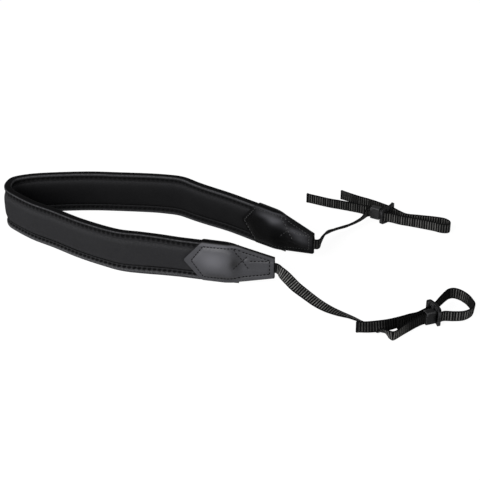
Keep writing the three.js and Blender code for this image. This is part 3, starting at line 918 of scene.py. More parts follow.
@dataclass(frozen=True)
class Repeat:
    """Copies of a small shape laid along a path at a pitch, each turned to the path there.

    pitch and inset, the length left out at each end of a line, are in millimetres, and a pitch of 0 puts a
    copy on each of the path's own points. size_jitter is a share of the shape's size, and turn_jitter is in
    degrees.
    """

    pitch: float = 0.0
    inset: float = 0.0
    size_jitter: float = 0.06
    turn_jitter: float = 3.0
    seed: int = 1

    TREE: ClassVar[str] = "repeat_along_path"
    INPUTS: ClassVar[dict[str, str]] = {
        "Base": "Geometry", "Path": "Object", "Shape": "Object", "Pitch": "Float", "Inset": "Float",
        "Size Jitter": "Float", "Turn Jitter": "Float", "Seed": "Int", "Material": "Material",
    }

    def tree(self) -> bpy.types.NodeTree:
        """The geometry nodes, built at their first use.

        Returns:
            The tree, with the named inputs above.
        """
        found = bpy.data.node_groups.get(self.TREE)
        if found:
            return found
        tree = bpy.data.node_groups.new(self.TREE, "GeometryNodeTree")
        for label, kind in self.INPUTS.items():
            tree.interface.new_socket(label, in_out="INPUT", socket_type=f"NodeSocket{kind}")
        tree.interface.new_socket("Geometry", in_out="OUTPUT", socket_type="NodeSocketGeometry")
        nodes = Nodes(tree)
        given = nodes.add("NodeGroupInput")
        seed, pitch, inset, jitter = (given[label] for label in ("Seed", "Pitch", "Inset", "Size Jitter"))
        lines, shape = (
            nodes.add("GeometryNodeObjectInfo", {"Object": given[label]})["Geometry"]
            for label in ("Path", "Shape")
        )
        curve = nodes.add("GeometryNodeMeshToCurve", {"Mesh": lines})[0]
        length = nodes.add("GeometryNodeSplineLength")["Length"]
        ends = {4: inset, 5: nodes.math("SUBTRACT", length, inset)}  # of the two lengths that trim a line
        trim = nodes.add("GeometryNodeTrimCurve", {"Curve": curve, **ends}, mode="LENGTH")[0]
        spaced = nodes.add("GeometryNodeResampleCurve", {"Curve": trim, "Length": pitch}, mode="LENGTH")
        choice = {"Switch": nodes.math("GREATER_THAN", pitch, 0.0), "False": lines, "True": spaced[0]}
        places = nodes.add("GeometryNodeSwitch", choice, input_type="GEOMETRY")[0]
        axes = {0: nodes.stored("forward", "FLOAT_VECTOR"), 1: nodes.stored("outward", "FLOAT_VECTOR")}
        facing = nodes.add("FunctionNodeAxesToRotation", axes, primary_axis="X", secondary_axis="Z")
        spread = nodes.add("ShaderNodeCombineXYZ", {2: given["Turn Jitter"]})[0]
        against = nodes.add("ShaderNodeVectorMath", {0: spread, 1: (-1, -1, -1)}, operation="MULTIPLY")
        swings = {0: against[0], 1: spread, "Seed": seed}
        swing = nodes.add("FunctionNodeRandomValue", swings, data_type="FLOAT_VECTOR")
        swung = nodes.add("FunctionNodeEulerToRotation", {0: swing[0]})
        turns = {0: facing[0], 1: swung[0]}
        turned = nodes.add("FunctionNodeRotateRotation", turns, rotation_space="LOCAL")[0]
        least, most = (nodes.math(sign, 1.0, jitter) for sign in ("SUBTRACT", "ADD"))
        size = nodes.chance(least, most, nodes.math("ADD", seed, 7.0))
        scale = nodes.add("ShaderNodeCombineXYZ", {0: 1.0, 1: size, 2: size})[0]
        tone = nodes.times(nodes.stored("worn"), nodes.chance(0.35, 1.0, seed))
        points = nodes.store(places, "tone", tone, "POINT")
        laid = {"Points": points, "Instance": shape, "Rotation": turned, "Scale": scale}
        copies = nodes.add("GeometryNodeInstanceOnPoints", laid)[0]
        shaded = nodes.store(copies, "shade", nodes.stored("tone"), "INSTANCE")
        joined = nodes.add("GeometryNodeJoinGeometry", {0: [shaded, given["Base"]]})
        real = nodes.add("GeometryNodeRealizeInstances", {0: joined[0]})[0]
        dressed = nodes.add("GeometryNodeSetMaterial", {"Geometry": real, "Material": given["Material"]})
        nodes.add("NodeGroupOutput", {0: dressed[0]})
        return tree

    def lay(self, name: str, path: Path, shape: Piece, finish: Finish, base: Piece | None = None) -> Piece:
        """Lays the shape along the path.

        Args:
            name: the name of the result.
            path: where the copies go.
            shape: the shape, made round the origin with +X forward and +Z outward; it goes.
            finish: the finish of the whole result.
            base: a piece that the copies are joined to; it goes.

        Returns:
            One plain mesh of the base and the copies.
        """
        host = base or link(f"{name}_host", bpy.data.meshes.new(f"{name}_host"))
        lines = path.piece(f"{name}_path")
        modifier = host.modifiers.new("copies", "NODES")
        modifier.node_group = self.tree()
        values = {
            "Path": lines, "Shape": shape, "Pitch": self.pitch * MM, "Inset": self.inset * MM,
            "Size Jitter": self.size_jitter, "Turn Jitter": math.radians(self.turn_jitter), "Seed": self.seed,
            "Material": finish.material(),
        }
        for item in modifier.node_group.interface.items_tree:
            if item.name in values:
                modifier[item.identifier] = values[item.name]
        result = baked(host, name)
        for used in (lines, shape):
            bpy.data.objects.remove(used)
        return result


def bar_shape(name: str, rings: Array, masks: Masks | None = None) -> Piece:
    """A small closed shape from rings of points round the origin, in millimetres, hidden from renders.

    Args:
        name: its name.
        rings: rings by points by xyz, turning so that the faces look outwards.
        masks: finish masks, each rings by points or one value for all.

    Returns:
        The shape.
    """
    shape = skin(name, rings + BOX_MIDDLE, masks=masks)
    shade_smooth(shape.data)
    shape.hide_render = True
    return shape


@dataclass(frozen=True)
class Stitch:
    """One stitch of thread that dives into the cloth at both ends, in millimetres."""

    length: float = 2.5
    thickness: float = 0.5
    dive: float = 0.45
    slant: float = 0.0

    def shape(self, name: str) -> Piece:
        """The stitch as a thin bent bar of a few dozen faces.

        Args:
            name: its name.

        Returns:
            The bar, hidden from renders.
        """
        marks = np.array([-1, -0.86, -0.45, 0.45, 0.86, 1])[:, None] * (self.length / 2)
        rise = np.array([-self.dive, -0.04, 0.05, 0.05, -0.04, -self.dive])[:, None]
        width = np.array([0.6, 0.95, 1.0, 1.0, 0.95, 0.6])[:, None] * self.thickness / 2
        angles = np.linspace(0, 2 * math.pi, 6, endpoint=False)
        beside = width * np.sin(angles) * 1.15 + marks * math.tan(math.radians(self.slant))
        above = rise + width * np.cos(angles)
        return bar_shape(name, np.stack([np.broadcast_to(marks, above.shape), beside, above], 2))


# The neck band ------------------------


@dataclass
class NeckBand:
    """The padded panel and the two bindings sewn over its long edges."""

    width: float = 40.5
    end_width: float = 38.8
    thickness: float = 7.2
    edge_thickness: float = 4.0
    end_squash: float = 0.2
    squash_length: float = 17.5
    taper: float = 70.0
    covered: float = 34.0  # how far the pad's end is from the band's own end, inside the patches
    patch_length: float = 86.0
    binding: float = 6.2
    binding_tuck: float = 1.3  # how far inside the bindings' turn the panel's own edge lies
    stitch_pitch: float = 5.0
    swell: float = 0.9
    crown: float = 1.2  # how much fuller the panel's outer face is at the apex
    apex: float = 0.533  # as a share of the band's length
    apex_reach: float = 60.0
    held_to: float = 62.0  # how far from the band's end the patches hold the cover
    stitches_from: float = 72.0  # how far from the band's end the stitches come out of the patches
    face_corners: int = 17
    panel_step: float = 1.6
    binding_step: float = 0.8
    frames: int = 20  # of the cloth simulation
    route: Route = field(default_factory=lambda: Route(BAND_ROUTE))

    # How much fuller a binding is at its very edge and on its faces, and how much nearer to the edge its
    # stitches are, in millimetres.
    FULLER: ClassVar[dict[Edge, float]] = {Edge.TOP: 0.35, Edge.BOTTOM: 1.1}
    HEEL: ClassVar[dict[Edge, float]] = {Edge.TOP: 0.0, Edge.BOTTOM: 0.45}
    STITCH_RISE: ClassVar[dict[tuple[Edge, Face], float]] = {
        (Edge.TOP, Face.OUTER): 1.5, (Edge.TOP, Face.INNER): 0.3,
        (Edge.BOTTOM, Face.OUTER): -0.6, (Edge.BOTTOM, Face.INNER): 0.2,
    }

    # Half of a binding's section, from its lip on one face to the middle of its turn: how far outward, how
    # much of the stitches' dip it takes, and how far back from the edge.
    SECTION: ClassVar[list[tuple[float, float, float]]] = [
        (2.1, 0.2, 6.2), (2.8, 0.4, 6.5), (3.2, 0.6, 6.3), (3.35, 0.8, 5.4), (3.2, 1.3, 4.1),
        (3.45, 0.7, 3.3), (3.65, 0.2, 2.6), (3.7, 0.0, 2.0), (3.65, 0.0, 1.4), (3.55, 0.0, 0.8),
        (3.3, 0.0, 0.25), (2.8, 0.0, -0.1), (2.0, 0.0, -0.3), (1.0, 0.0, -0.38), (0.0, 0.0, -0.4),
    ]
    STITCH_ROW: ClassVar[int] = 4
    TURN: ClassVar[slice] = slice(12, 17)  # the section's columns round the edge itself

    # How much wear and painted highlight lighten each row of the section, how deep in painted shadow its lip
    # is, and how much painted shade its turn has.
    RIDGES: ClassVar[dict[tuple[Edge, Face], dict[int, float]]] = {
        (Edge.TOP, Face.OUTER): {8: 0.25, 9: 0.6, 10: 0.65, 11: 0.2},
        (Edge.TOP, Face.INNER): {8: 0.35, 9: 0.65, 10: 0.5, 11: 0.1},
        (Edge.BOTTOM, Face.OUTER): {5: 0.1, 6: 0.4, 7: 0.62, 8: 0.5, 9: 0.15},
        (Edge.BOTTOM, Face.INNER): {6: 0.15, 7: 0.4, 8: 0.25},
    }
    LIP: ClassVar[dict[int, float]] = {0: 0.8, 1: 0.5, 2: 0.1}
    ROUND: ClassVar[dict[Edge, dict[int, float]]] = {Edge.TOP: {11: 0.6}, Edge.BOTTOM: {11: 0.6, 10: 0.4}}

    # How much each row by the stitches takes of the seam's painted shadow round the thread, and for each seam
    # how dark that is, how much lighter the tape is between the stitches, how much more wear and painted
    # highlight it has there, and how much painted shade its rows have.
    GROOVE: ClassVar[dict[Edge, dict[int, float]]] = {
        Edge.TOP: {3: 0.9, 4: 1.0, 5: 1.0, 6: 0.6}, Edge.BOTTOM: {3: 0.9, 4: 1.0, 5: 1.0, 6: 0.0},
    }
    SEAMS: ClassVar[dict[tuple[Edge, Face], tuple[float, float, float, float]]] = {
        (Edge.TOP, Face.OUTER): (1.0, 0.35, 0.14, 0.0), (Edge.TOP, Face.INNER): (0.7, 0.35, 0.05, 0.55),
        (Edge.BOTTOM, Face.OUTER): (0.9, 0.55, 0.2, 0.0), (Edge.BOTTOM, Face.INNER): (0.6, 0.3, 0.04, 0.55),
    }
    STITCHES: ClassVar[dict[Face, Stitch]] = {
        Face.OUTER: Stitch(length=3.6, thickness=1.1, dive=0.65, slant=14),
        Face.INNER: Stitch(length=3.0, thickness=0.7, dive=0.5, slant=14),
    }

    def from_end(self, distance: Array) -> Array:
        """How far a distance along the band is from its nearer end."""
        return np.minimum(distance, self.route.length - distance)

    def fullness(self, distance: Array) -> Array:
        """How much of its full thickness the pad has.

        Args:
            distance: places along the band.

        Returns:
            Shares: the pad is squashed where its ends are sewn in, and pressed under the patches.
        """
        inside = self.from_end(distance) - self.covered
        padding = self.end_squash + (1 - self.end_squash) * smooth(inside, 0, self.squash_length)
        return padding * (0.72 + 0.28 * smooth(self.from_end(distance), 58, 74))

    def half_width(self, distance: Array) -> Array:
        """Half the band's width, a little less at its ends than round the neck."""
        share = smooth(self.from_end(distance) - self.patch_length, 0, self.taper)
        return (self.end_width + (self.width - self.end_width) * share) / 2

    @property
    def pad_run(self) -> tuple[float, float, int]:
        """Where the pad starts and ends along the band, and how many stitches fit between."""
        start, end = self.covered, self.route.length - self.covered
        return start, end, round((end - start) / self.stitch_pitch)

    def marks(self, step: float) -> Array:
        """Distances along the pad at about a step, so that whole stitches fit."""
        start, end, count = self.pad_run
        return np.linspace(start, end, count * round(self.stitch_pitch / step) + 1)

    def hole(self, distance: Array) -> Array:
        """1 at the holes between stitches and 0 in the middle of a stitch."""
        start, end, count = self.pad_run
        return 0.5 + 0.5 * np.cos(2 * math.pi * (distance - start) / ((end - start) / count))

    def panel(self) -> None:
        """The padded panel: a cloth cover blown up against its seams, then drawn in by the stitches."""
        stations = self.route.stations(self.marks(self.panel_step))
        distance = stations.distance[:, None]
        spread = np.sin(np.linspace(-math.pi / 2, math.pi / 2, self.face_corners))[None, :]
        seam = self.half_width(distance) - self.binding + 0.35
        across = seam * spread
        to_seam = seam - np.abs(across)
        top = np.broadcast_to(self.half_width(distance) - self.binding_tuck, (len(distance), 1))
        column = np.hstack([-top, across, top])
        near_seam = self.framed(np.exp(-to_seam / 1.9), top * 0 + 1)
        depth, fuller = self.panel_depth(distance, spread)
        outlines = (np.hstack([depth + fuller, -depth[:, ::-1]]), both_ways(column))
        masks = self.panel_masks(distance, column, to_seam, near_seam)
        base = stations.at(*outlines)
        piece = skin("neck_pad_panel", base, masks=masks)
        points = self.blown_up(piece, base, masks["held"])
        drawn = both_ways(near_seam) * (0.75 + 0.3 * self.hole(distance))
        pressed_in = np.sign(outlines[0]) * (drawn + self.tip_dent(distance, outlines[1]))
        points -= stations.out[:, None] * pressed_in[..., None]
        piece.data.vertices.foreach_set("co", to_metres(points).astype(np.float32).ravel())
        piece.data.update()
        piece.data.attributes.remove(piece.data.attributes["held"])
        rounded = piece.modifiers.new("rounded", "SUBSURF")
        rounded.levels = rounded.render_levels = 1
        piece.data.materials.append(PANEL_CLOTH.material())
        piece = baked(piece, "neck_pad_panel")
        place_piece(piece, ["neck_pad"])

    @staticmethod
    def framed(columns: Array, rim: Array) -> Array:
        """One face's columns between those of the panel's two rims, which the bindings hide."""
        return np.hstack([rim, columns, rim])

    def panel_depth(self, distance: Array, spread: Array) -> tuple[Array, Array]:
        """How far the panel's faces stand out before they are blown up.

        Args:
            distance: places along the band, one row each.
            spread: the columns' places across it, from -1 to 1 between the seams.

        Returns:
            The depth of each face, and how much fuller the outer face is.
        """
        scale = self.fullness(distance)
        edge, full = self.edge_thickness / 2 * scale, self.thickness / 2 * scale
        depth = self.framed(edge + (full - edge) * np.sqrt(1 - np.abs(spread) ** 5), edge)
        swollen = self.framed(1 - spread**4 + edge * 0, edge * 0)
        return depth, self.crown * bell(distance, self.route.length * self.apex, self.apex_reach) * swollen

    def panel_masks(self, distance: Array, column: Array, to_seam: Array, near_seam: Array) -> Masks:
        """The panel's masks.

        Args:
            distance: places along the band, one row each.
            column: the columns' heights across it, over one face.
            to_seam: how far the columns between the rims are from the nearer seam.
            near_seam: 1 at the seams and less away from them, over one face.

        Returns:
            Where the cover is held, its deep painted shade, its wear with painted highlights, and how shaded
            it is, for both faces.
        """
        held = (near_seam > 0.98) | (self.from_end(distance) < self.held_to)
        # The seams, and the inner face low at the apex, get deep painted shade. A soft bulge by each seam
        # gets wear and a painted highlight, more by the upper seam. The inner face is darker, partly as a
        # darker cloth and partly as painted shade, and painted light lifts it near its upper seam.
        above, none = column[:, 1:-1] > 0, np.zeros_like(distance)
        inner = np.hstack([np.zeros_like(column), np.ones_like(column)])
        sunk = both_ways(0.45 * near_seam**2)
        deep = 0.8 * bell(distance, self.route.length / 2, self.apex_reach) * (1 - smooth(column, -6, 16))
        bulge = bell(to_seam, 2.4, 2.2) * np.where(above, 0.18, 0.08)
        glow = np.clip(1.3 * np.exp(-to_seam / 3.5), 0, 0.95) * np.where(above, 0.9, 0.08)
        return {
            "held": both_ways(held * 1.0),
            "sunk": sunk + inner * both_ways(deep) * (1 - sunk),
            "rubbed": both_ways(self.framed(bulge, none)),
            "shaded": inner * (0.97 - both_ways(self.framed(glow, none))),
        }

    def tip_dent(self, distance: Array, across: Array) -> Array:
        """How far the points of the patches press the panel in.

        Args:
            distance: places along the band.
            across: heights on its face.

        Returns:
            Depths in millimetres.
        """
        from_end = self.from_end(distance)
        # Half the plate's height along its point, and the gap from there, about square to its slope.
        reach = np.interp(from_end, [69, 86], [21, 1])
        gap = np.maximum(np.abs(across) - reach, 0) * 0.76
        beyond = np.maximum(from_end - self.patch_length, 0)
        return 0.9 * (1 - smooth(np.hypot(gap, beyond), 0.3, 3.2)) * smooth(from_end, 66, 72)

    def blown_up(self, piece: Piece, base: Array, held: Array) -> Array:
        """The panel's points after its cover is blown up by a cloth simulation.

        Args:
            piece: the panel.
            base: its points before, in millimetres.
            held: 1 where the seams and patches hold it.

        Returns:
            The points after, none further from its first place than the swell.
        """
        scene = bpy.context.scene
        group = piece.vertex_groups.new(name="held")
        group.add(np.flatnonzero(held.ravel() > 0.5).tolist(), 1.0, "REPLACE")
        cloth = piece.modifiers.new("cover", "CLOTH")
        values = {
            "quality": 5, "mass": 0.002, "tension_stiffness": 4.0, "compression_stiffness": 4.0,
            "shear_stiffness": 2.0, "bending_stiffness": 0.02, "use_pressure": True,
            "uniform_pressure_force": 4.0, "vertex_group_mass": "held",
        }
        for label, value in values.items():
            setattr(cloth.settings, label, value)
        cloth.settings.effector_weights.gravity = 0.0
        cloth.collision_settings.use_collision = False
        cloth.point_cache.frame_start, cloth.point_cache.frame_end = 1, self.frames
        for step in range(1, self.frames + 1):
            scene.frame_set(step)
        graph = bpy.context.evaluated_depsgraph_get()
        after = np.zeros(base.size, np.float32)
        piece.evaluated_get(graph).data.vertices.foreach_get("co", after)
        piece.modifiers.remove(cloth)
        piece.vertex_groups.remove(group)
        scene.frame_set(1)
        moved = (after.reshape(-1, 3) - to_metres(base)).reshape(base.shape) / MM
        size = np.linalg.norm(moved, axis=2, keepdims=True)
        LOG.info("cover moved by up to %.2f mm, mean %.2f mm", size.max(), size.mean())
        return base + moved * (self.swell / np.maximum(self.swell + size, 1e-6))

    def column(self, edge: Edge, face: Face, row: int) -> int:
        """The column of a binding's outline for a row of its section on one face."""
        return row if edge.value == face.value else 2 * (len(self.SECTION) - 1) - row

    def binding_outline(self, distance: Array, edge: Edge) -> tuple[Array, Array]:
        """The section of one binding.

        Args:
            distance: places along the band, one row each.
            edge: which binding.

        Returns:
            The outward and the across columns, one row a station.
        """
        scale, half_width = self.fullness(distance), self.half_width(distance)
        out, dip, back = np.array(self.SECTION).T
        reach = back.max()
        outward = (out - dip * (0.3 + 0.5 * self.hole(distance))) * scale
        outward = outward + self.HEEL[edge] * np.sin(math.pi * np.clip(back + 0.6, 0, 4) / 4.6)
        sides = {}
        for face in Face:
            raised = self.STITCH_RISE[edge, face] * np.sin(math.pi * back / reach)
            sides[face.value] = half_width - back + raised + self.FULLER[edge] * (1 - back / reach)
        inside_out = scale * np.array([-1.95, -1.95, 1.95, 1.95])
        inside_back = half_width - np.array([6.3, 1.2, 1.2, 6.3])
        outward = np.hstack([outward, -outward[:, -2::-1], inside_out])
        across = np.hstack([sides[edge.value], sides[-edge.value][:, -2::-1], inside_back])
        return edge.value * outward, edge.value * across

    def bind(self, edge: Edge) -> None:
        """The binding over one edge, drawn in by its stitches.

        Args:
            edge: which binding.
        """
        stations = self.route.stations(self.marks(self.binding_step))
        outward, across = self.binding_outline(stations.distance[:, None], edge)
        rubbed, sunk, shaded = (np.zeros_like(outward) for _ in range(3))
        hole = self.hole(stations.distance)
        for face in Face:
            dark, lift, worn, shade = self.SEAMS[edge, face]
            given = ((rubbed, self.RIDGES[edge, face]), (sunk, self.LIP), (shaded, self.ROUND[edge]))
            for mask, rows in given:
                for row, value in rows.items():
                    mask[:, self.column(edge, face, row)] = value
            for row, value in self.GROOVE[edge].items():
                column = self.column(edge, face, row)
                sunk[:, column] = value * dark * (1.0 - lift * hole)
                rubbed[:, column] += worn * hole
                shaded[:, column] = shade
        # The very edge, where the tape turns round, gets painted shade.
        shaded[:, self.TURN] = 1.0
        sunk[:, self.TURN] = 0.7
        points = stations.at(outward, across)
        points[..., 2] = np.maximum(points[..., 2], 0.05)
        name = f"edge_binding_tape_{edge.label}"
        piece = skin(name, points, masks={"rubbed": rubbed, "sunk": sunk, "shaded": shaded})
        piece.data.materials.append(BINDING_TAPE.material())
        place_piece(piece, [f"edge_binding_{edge.label}"])

    def stitches(self, face: Face) -> None:
        """One face's two rows of stitches that hold the bindings, as far as the patches.

        Args:
            face: which face.
        """
        ends = self.marks(self.stitch_pitch)
        middles = (ends[1:] + ends[:-1]) / 2
        stations = self.route.stations(middles[self.from_end(middles) > self.stitches_from])
        lines = []
        for edge in Edge:
            outward, across = self.binding_outline(stations.distance[:, None], edge)
            column = self.column(edge, face, self.STITCH_ROW)
            spot = stations.at(outward[:, [column]] + 0.12 * face.value, across[:, [column]])
            lines.append((spot[:, 0], stations.forward, face.value * stations.out))
        shape = self.STITCHES[face].shape("binding_stitch")
        repeat = Repeat(size_jitter=0.12, turn_jitter=7.0, seed=11)
        piece = repeat.lay(f"stitches_binding_{face.label}", Path(lines), shape, BLACK_THREAD)
        place_piece(piece)

    def build(self) -> None:
        """Builds the panel, both bindings and their stitches."""
        self.panel()
        for edge in Edge:
            self.bind(edge)
        for face in Face:
            self.stitches(face)


# The leather end patches --------------


@dataclass
class EndPatch:
    """One leather plate of a pair: a point over the pad, a long body, and a tapered end over webbing.

    Its relief is made of a rim that rises over the pad, a pillow inside the stitches, a ridge over the
    webbing, small folds before the pad, and at each row of stitches a groove in a wider dip.
    """

    band: NeckBand
    end: End
    face: Face
    leather: float = 1.5
    length: float = 86.0
    tip_to_corner: float = 17.0
    bend: float = 39.5
    widths: tuple[float, float, float, float] = (21.5, 40.6, 42.0, 2.0)
    round_edge: float = 0.55
    rim: tuple[float, float] = (0.25, 2.7)  # its height at the band's end, and its rise over the pad
    rim_start: float = 32.0  # on the left plates; on the right ones the pad and the rim start nearer
    rim_run: float = 15.0
    rim_fall: tuple[float, float] = (17.5, 0.32)  # where it starts to fall to its sides, and how steeply
    pillow: float = 2.1
    pillow_reach: float = 3.6  # how far from the stitches the pillow is still low
    pad_bow: float = 3.5  # how much further the pad's end comes at the middle
    ridge: float = 0.75
    ridge_side: tuple[float, float] = (4.8, 7.6)
    ridge_end: tuple[float, float] = (27, 36)
    fold: float = 0.28
    groove: tuple[float, float] = (0.28, 0.7)  # depth and width
    dip: tuple[float, float] = (0.3, 2.2)
    stitch_pitch: float = 3.1
    stations: int = 145
    columns: int = 63  # on the plate's face, between its rounded rims
    under_columns: int = 13

    LEATHER: ClassVar[dict[Face, Finish]] = {Face.OUTER: PATCH_LEATHER, Face.INNER: SHADED_LINING_LEATHER}
    THREAD: ClassVar[dict[Face, Finish]] = {Face.OUTER: PATCH_THREAD, Face.INNER: LIT_LINING_THREAD}
    PAD_EDGE: ClassVar[dict[End, float]] = {End.LEFT: 46.0, End.RIGHT: 38.0}  # where the pad under it ends
    RIM: ClassVar[list[float]] = [22, 50, 78, 90]  # the turns of the rim's columns, in degrees
    # These columns are lightened by wear and painted highlight, where the face rounds into its rims.
    RUBBED: ClassVar[list[int]] = [3, 4, 5, -15, -16, -17]  # the columns where the face turns into its rims

    # Rows of stitches, as distances from the band's end and heights across it.
    PERIMETER: ClassVar[dict[Face, Line]] = {
        Face.OUTER: [
            (4.5, -7), (28, -12.4), (39, -15.6), (67.5, -16.4), (79, 0), (67.5, 16.4), (39, 16.6), (28, 13),
            (4.5, 7.6),
        ],
        Face.INNER: [
            (4.5, -7.5), (28, -13.5), (39, -17), (68.5, -17.6), (82.5, 0), (68.5, 17.8), (39, 17.6), (28, 14),
            (4.5, 8),
        ],
    }
    CROSSING: ClassVar[list[Line]] = [
        [(38.8, 16.4), (24.5, -3.4)], [(38.8, -4), (26, 9)], [(23.5, 5), (6.5, 6.6)],
    ]

    # Spots of painted highlight on slightly polished leather, and spots of painted shade below 0: middle and
    # height on the plate, length, width, amount.
    POLISHED: ClassVar[dict[Face, list[tuple[float, float, float, float, float]]]] = {
        Face.OUTER: [
            (58, 4, 15, 11, 0.75), (50, 18.3, 30, 1.4, 0.45), (37.5, 1.5, 5, 8, -0.9), (50, -14, 16, 4, -0.5),
            (10, 0, 12, 20, -0.08),
        ],
        Face.INNER: [
            (44, 11.5, 8, 4, 1.0), (56, 14, 10, 3, 0.6), (22, 6, 14, 3, 0.7), (14, 0.5, 10, 4, 0.5),
            (50, 19, 40, 1.6, 0.6), (46, -9, 22, 9, -0.9), (72, 0, 12, 14, -0.95), (24, -10, 14, 4, -0.6),
        ],
    }

    # How light the thread of each row is, from 0 to 1, in the order of the rows: on the outer face the
    # crossing's thread is greyer, and on the inner face the light rows are painted highlights and the dark
    # ones painted shade.
    TONES: ClassVar[dict[Face, list[float]]] = {
        Face.OUTER: [0.15, 0.15, 0.1, 0.1, 0.1, 0.25, 0.3, 0.2, 0.1, 0.8, 0.7, 0.5],
        Face.INNER: [0.1, 0.05, 0.0, 0.9, 0.6, 0.25, 0.6, 0.45, 0.6, 1.0, 0.5, 1.0],
    }

    @property
    def label(self) -> str:
        """The face and the end, as piece names have them."""
        return f"{self.face.label}_{self.end.label}"

    def round_rows(self) -> list[Line]:
        """The stretches of the row of stitches round the plate."""
        edge = self.PERIMETER[self.face]
        return [[a, b] for a, b in zip(edge, edge[1:] + edge[:1])]

    def rows(self) -> list[Line]:
        """Every row of stitches as straight stretches."""
        return self.round_rows() + self.CROSSING

    def half_height(self, from_end: Array) -> Array:
        """Half the plate's height, its corners slightly rounded.

        Args:
            from_end: distances from the band's end.

        Returns:
            Half heights in millimetres.
        """
        marks = [0, self.bend, self.length - self.tip_to_corner, self.length]
        heights = np.array(self.widths) / 2
        offsets = (-1.1, -0.6, 0.0, 0.6, 1.1)
        return sum(np.interp(from_end + step, marks, heights) for step in offsets) / len(offsets)

    @staticmethod
    def to_row(from_end: Array, across: Array, rows: Iterable[Line]) -> Array:
        """How far points are from the nearest row of stitches.

        Args:
            from_end: distances from the band's end.
            across: their heights across it.
            rows: straight stretches of stitches.

        Returns:
            Distances in millimetres.
        """
        nearest = np.full(np.broadcast(from_end, across).shape, np.inf)
        for (x0, a0), (x1, a1) in rows:
            dx, da = x1 - x0, a1 - a0
            share = np.clip(((from_end - x0) * dx + (across - a0) * da) / (dx * dx + da * da), 0, 1)
            nearest = np.minimum(nearest, np.hypot(from_end - x0 - share * dx, across - a0 - share * da))
        return nearest

    def inside(self, from_end: Array, across: Array) -> Array:
        """Whether points are inside the row of stitches round the plate.

        Args:
            from_end: distances from the band's end.
            across: their heights across it.

        Returns:
            True for the ones inside.
        """
        within = np.zeros(np.broadcast(from_end, across).shape, bool)
        for (x0, a0), (x1, a1) in self.round_rows():
            crossed = (a0 > across) != (a1 > across)
            within ^= crossed & (from_end < x0 + (across - a0) * (x1 - x0) / (a1 - a0 + 1e-9))
        return within

    def height(self, from_end: Array, across: Array) -> Array:
        """How far the plate's outer surface stands from the band's mid-surface.

        Args:
            from_end: distances from the band's end.
            across: their heights across it.

        Returns:
            Heights in millimetres.
        """
        off_middle = np.abs(across)
        shift = 0.6 * (self.PAD_EDGE[self.end] - self.PAD_EDGE[End.LEFT])
        rise = from_end - self.rim_start - shift + (shift - 1) * smooth(off_middle, 11, 17)
        rim = self.rim[0] + self.rim[1] * smooth(rise, 0, self.rim_run)
        fall_from, steep = self.rim_fall
        rim = rim - steep * np.maximum(off_middle - fall_from, 0) * smooth(from_end, 30, 45)
        to_seam = self.to_row(from_end, across, self.round_rows())
        pillow = np.where(self.inside(from_end, across), 1 - np.exp(-to_seam / self.pillow_reach), 0.0)
        end_of_pad = self.PAD_EDGE[self.end] - self.pad_bow * np.cos(across / 16 * math.pi / 2)
        over_pad = smooth(from_end, end_of_pad - 5.5, end_of_pad + 6.5)
        over_web = (1 - smooth(off_middle, *self.ridge_side)) * (1 - smooth(from_end, *self.ridge_end))
        folds = self.fold * np.sin(across * 0.62 + 0.8 * np.sin(from_end * 0.31))
        folds = folds * bell(from_end, 37, 7) * (1 - smooth(off_middle, 11, 15))
        low = rim + self.pillow * pillow * over_pad + np.maximum(self.ridge - rim, 0) * over_web + folds
        near = self.to_row(from_end, across, self.rows())
        pressed = sum(depth * bell(near, 0, width) for depth, width in (self.groove, self.dip))
        return low + self.leather - pressed

    def handling(self, from_end: Array, across: Array) -> tuple[Array, Array]:
        """Where the plate gets painted highlights on slightly polished leather, and where it gets painted
        shade.

        Args:
            from_end: distances from the band's end.
            across: their heights across it.

        Returns:
            Both masks, from 0 to 1.
        """
        polished, shaded = (np.zeros(np.broadcast(from_end, across).shape) for _ in range(2))
        for middle, height, length, width, amount in self.POLISHED[self.face]:
            spot = np.exp(-(((from_end - middle) / length) ** 2) - ((across - height) / width) ** 2)
            polished += max(amount, 0) * spot
            shaded += max(-amount, 0) * spot
        return np.clip(polished, 0, 1), np.clip(shaded, 0, 1)

    def plate(self) -> None:
        """The plate as one closed skin."""
        marks = np.linspace(0, self.length, self.stations)
        if self.end is End.RIGHT:
            marks = self.band.route.length - marks[::-1]
        stations = self.band.route.stations(marks)
        from_end = self.band.from_end(marks)[:, None]
        half = self.half_height(from_end)
        turn, around = np.radians(self.RIM)[None, :], self.round_edge
        across = (half - around) * np.linspace(-1, 1, self.columns)[None, :]
        high = self.height(from_end, across)
        rim_low, rim_high = (high[:, [side]] - around * (1 - np.cos(turn)) for side in (0, -1))
        rim_across = half - around * (1 - np.sin(turn))
        under = np.linspace(1, -1, self.under_columns)[None, :] * (half - 0.15)
        under_high = self.height(from_end, under) - self.leather + 0.1
        over = np.hstack([-rim_across[:, ::-1], across, rim_across])
        columns = np.hstack([over, under])
        ends = np.clip(np.minimum(from_end, self.length - from_end) / around, 0, 1)
        nose = around * (1 - np.sqrt(1 - (1 - ends) ** 2))
        outward = np.hstack([rim_low[:, ::-1], high, rim_high]) - nose
        outward = np.maximum(np.hstack([outward, under_high]), 0.12)
        # The edge paint covers the rims and the underside, and laps a little onto the face.
        rim, bare = [0.8, 1, 1, 1], np.zeros(self.columns - 2)
        painted = np.hstack([rim[::-1], 0.35, bare, 0.35, rim, np.ones(self.under_columns)])[None, :]
        hidden = np.zeros((len(marks), self.under_columns))
